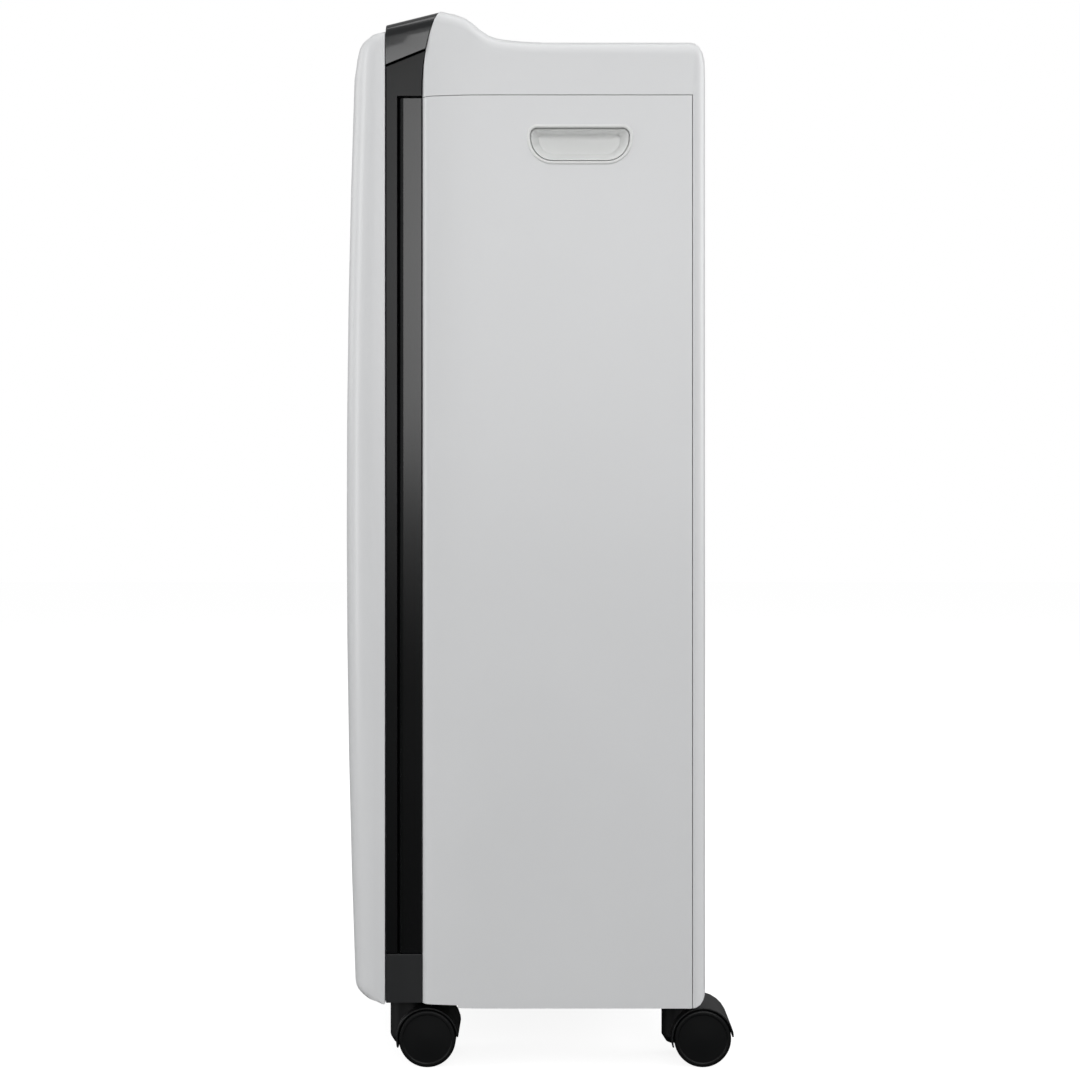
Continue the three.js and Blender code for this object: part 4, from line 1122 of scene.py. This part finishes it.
@dataclass
class Bucket:
    """The water bucket, its face, its handle and its float. Sizes in millimetres."""

    marks: int = 6
    mark: Point = (0.8, 16.0, 1.0)
    mark_proud: float = 0.25
    from_back: float = 30.0
    from_foot: float = 20.0

    def build(self) -> None:
        """Refines the mouldings and adds level marks on the tank's wall."""
        refined("water_bucket", MILKY_PP, 0.8)
        refined("bucket_front", WHITE_ABS, 0.6)
        refined("bucket_handle", GREY_PP, 0.8)
        refined("bucket_float", WHITE_ABS_PAINTED_LIGHT, 0.8)
        low, high = span("water_bucket")
        rise = (high.z - low.z) * 0.75 / self.marks
        x, y = high.x + self.mark_proud * MM, high.y - self.from_back * MM
        points = [Vector((x, y, low.z + self.from_foot * MM + rise * i)) for i in range(self.marks)]
        size = [length * MM for length in self.mark]
        ribs = Repeater("level_marks", MILKY_PP).at("bucket_marks", points, size)
        dress(ribs, MILKY_PP, "bucket")


@dataclass
class Back:
    """What is on the back: the mains inlet, the hose plug and the sunk screws. Sizes in millimetres."""

    housing: Piece
    screw_head: float = 3.6
    pocket: float = 4.8
    pocket_deep: float = 2.0
    pin: Point = (2.3, 12.0, 5.3)
    pin_pitch: float = 7.0
    pin_deep: float = 11.0
    edge_inset: float = 20.0
    foot_inset: float = 22.0
    above_door: float = 14.0
    top_screw: tuple[float, float] = (60.0, 24.0)

    def build(self) -> None:
        """Refines the inlet and the plug, adds the inlet's pins and sets the screws."""
        refined("power_inlet", SPARKED_BLACK, 0.3)
        refined("drain_plug", SOFT_RUBBER, 0.6)
        self._pins()
        self._screws()

    def _pins(self) -> None:
        """Sleeves the inlet's three pins in plated metal."""
        low, high = span("power_inlet")
        middle = (low + high) / 2
        places = (middle.x + shift * self.pin_pitch * MM for shift in (-1, 0, 1))
        points = [Vector((x, high.y - self.pin_deep * MM, middle.z)) for x in places]
        size = [length * MM for length in self.pin]
        pins = Repeater("inlet_pins", NICKEL_PIN).at("inlet_pin_sleeves", points, size)
        soften(pins, 0.4)
        dress(pins, NICKEL_PIN, "housing")

    def _screw(self) -> Piece:
        """A pan head with a cross recess, facing +Y, at the origin."""
        r = self.screw_head * MM
        shape = ((0.03, 0.45), (0.5, 0.42), (0.85, 0.26), (1, 0), (1, -0.1), (0.03, -0.1))
        profile = [(a * r, b * r) for a, b in shape]
        head = skinned("screw_head", lathe_rings(profile, Vector(), "Y", 20))
        bar, quarter = (1.1 * r, 0.15 * r, 0.24 * r), (0, math.pi / 2, 0)
        cross = Repeater("screw_cross", SATIN_BLACK).at(
            "cross", [Vector((0, 0.4 * r, 0))] * 2, bar, turn_step=quarter
        )
        both = joined("screw", [head, cross])
        soften(both, 0, 40)
        return both

    def _screws(self) -> None:
        """Cuts a pocket for each screw along the edges of the back, and sets the screws."""
        low, high = span("rear_housing")
        face, inset = high.y, self.edge_inset * MM
        x = high.x - inset
        door_low, door_high = span("intake_grille")
        heights = [low.z + self.foot_inset * MM, (low.z + door_low.z) / 2]
        heights += [door_low.z - inset, door_high.z + self.above_door * MM]
        bay_high = span("bucket_front")[1].z
        places = [(side * x, z) for z in heights for side in (-1, 1) if side < 0 or z > bay_high]
        out, above = (length * MM for length in self.top_screw)
        places += [(side * out, door_high.z + above) for side in (-1, 1)]
        points = [Vector((x, face, z)) for x, z in places]
        wide, deep = self.pocket * MM, -self.pocket_deep * MM
        profile = [(0.02 * wide, deep), (wide, deep), (wide, 2 * MM), (0.02 * wide, 2 * MM)]
        drill = skinned("drill", lathe_rings(profile, Vector(), "Y", 24))
        drills = Repeater("pocket_set", WHITE_ABS, drill).at("pockets", points)
        pockets = self.housing.modifiers.new("pockets", "BOOLEAN")
        pockets.operation = "DIFFERENCE"
        pockets.solver = "EXACT"
        pockets.object = drills
        apply_modifiers(self.housing)
        for used in (drill, drills):
            bpy.data.objects.remove(used)
        head = self._screw()
        screws = Repeater("screw_set", ZINC_STEEL, head).at(
            "back_screws", [point + Vector((0, deep, 0)) for point in points]
        )
        bpy.data.objects.remove(head)
        dress(screws, ZINC_STEEL, "housing")


# ---- stage


@dataclass
class Studio:
    """The floor, the lights and the camera. Distances in metres."""

    camera_at: Point = (1.230, 0.005, 0.3694)
    lens: float = 50.0
    floor_half: float = 12.0

    def build(self) -> None:
        """Sets the floor, the world, the lights and the camera."""
        bpy.context.scene.view_settings.view_transform = "Standard"
        self._floor()
        self._world()
        for name, place, target, size, power in (
            ("key_side", (2.5, 0.35, 1.05), (0.0, 0.35, 1.05), (2.0, 1.05), 18),
            ("key_high", (2.0, 1.1, 2.9), (0.1, 0.0, 0.6), (1.7, 1.4), 17),
            ("strip_front", (0.6, -2.4, 0.9), (0.1, 0.0, 0.4), (0.35, 2.0), 18),
            ("soft_front", (-1.4, -3.0, 1.6), (0.0, 0.0, 0.45), (1.8, 1.8), 14),
            ("soft_back", (-0.2, 3.0, 1.4), (0.0, 0.0, 0.45), (1.8, 2.0), 34),
            ("soft_top", (0.3, 0.2, 3.2), (0.0, 0.0, 0.5), (1.6, 1.6), 12),
        ):
            self._light(name, place, target, size, power)
        camera = bpy.data.objects.new("camera", bpy.data.cameras.new("camera"))
        camera.data.lens = self.lens
        camera.data.sensor_width = 36.0
        camera.location = self.camera_at
        camera.rotation_euler = (math.pi / 2, 0, math.pi / 2)
        bpy.context.scene.collection.objects.link(camera)
        bpy.context.scene.camera = camera

    def _floor(self) -> None:
        """A pale sheet that looks as bright as the room behind it, with the object's soft shadow on it."""
        half = self.floor_half
        mesh = bpy.data.meshes.new("floor")
        corners = [(-half, -half, 0), (half, -half, 0), (half, half, 0), (-half, half, 0)]
        mesh.from_pydata(corners, [], [(0, 1, 2, 3)])
        floor = new_object("floor", mesh)
        paper = bpy.data.materials.new("paper_sweep_white")
        paper.use_nodes = True
        tree = paper.node_tree
        tree.nodes.clear()
        sheet = add_node(tree, "ShaderNodeBsdfDiffuse", {"Color": to_linear("#A4A4A4")})
        glow = add_node(tree, "ShaderNodeEmission", {"Color": (1, 1, 1, 1), "Strength": 0.88})
        both = add_node(tree, "ShaderNodeAddShader", {0: sheet.outputs["BSDF"], 1: glow.outputs["Emission"]})
        # Glossy rays see this dark grey instead of the pale floor: painted shade in the floor's reflections
        # on the object.
        dark = add_node(tree, "ShaderNodeBsdfDiffuse", {"Color": to_linear("#3A3A3A")})
        shown = self._by_ray(tree, "Is Camera Ray", sheet.outputs["BSDF"], both.outputs["Shader"])
        mirrored = self._by_ray(tree, "Is Glossy Ray", shown, dark.outputs["BSDF"])
        add_node(tree, "ShaderNodeOutputMaterial", {"Surface": mirrored})
        mesh.materials.append(paper)

    @staticmethod
    def _by_ray(tree: Tree, ray: str, usual: Socket, seen: Socket) -> Socket:
        """Gives rays of one kind another shader than all the rest."""
        is_ray = add_node(tree, "ShaderNodeLightPath").outputs[ray]
        return add_node(tree, "ShaderNodeMixShader", {0: is_ray, 1: usual, 2: seen}).outputs["Shader"]

    def _world(self) -> None:
        """A white room that lights the object more softly than it looks."""
        world = bpy.data.worlds.new("studio")
        bpy.context.scene.world = world
        world.use_nodes = True
        tree = world.node_tree
        tree.nodes.clear()
        seen, lit = (
            add_node(tree, "ShaderNodeBackground", {"Color": (1, 1, 1, 1), "Strength": strength}).outputs[0]
            for strength in (1.0, 0.3)
        )
        mixed = self._by_ray(tree, "Is Camera Ray", lit, seen)
        add_node(tree, "ShaderNodeOutputWorld", {"Surface": mixed})

    @staticmethod
    def _light(name: str, place: Point, target: Point, size: tuple[float, float], power: float) -> None:
        """Adds a rectangular soft light that faces a target.

        Args:
            name: the light's name.
            place: where it stands.
            target: what it faces.
            size: its width and height in metres.
            power: its power in watts.
        """
        data = bpy.data.lights.new(name, "AREA")
        data.shape = "RECTANGLE"
        data.size, data.size_y = size
        data.energy = power
        light = bpy.data.objects.new(name, data)
        light.location = place
        light.rotation_euler = (Vector(target) - Vector(place)).to_track_quat("-Z", "Y").to_euler()
        bpy.context.scene.collection.objects.link(light)


# ---- main


def main() -> None:
    logging.basicConfig(level=logging.INFO, format="%(message)s")
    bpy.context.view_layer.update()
    Studio().build()
    housing = Covers().build()
    for side in ("right", "left"):
        HandleCup(side).build()
    ControlCap().build()
    Outlet().build()
    IntakeDoor().build()
    Works().build()
    Bucket().build()
    Back(housing).build()
    for end in ("front", "rear"):
        for side in ("left", "right"):
            Caster(f"caster_{end}_{side}").build()


if __name__ == "__main__":
    main()
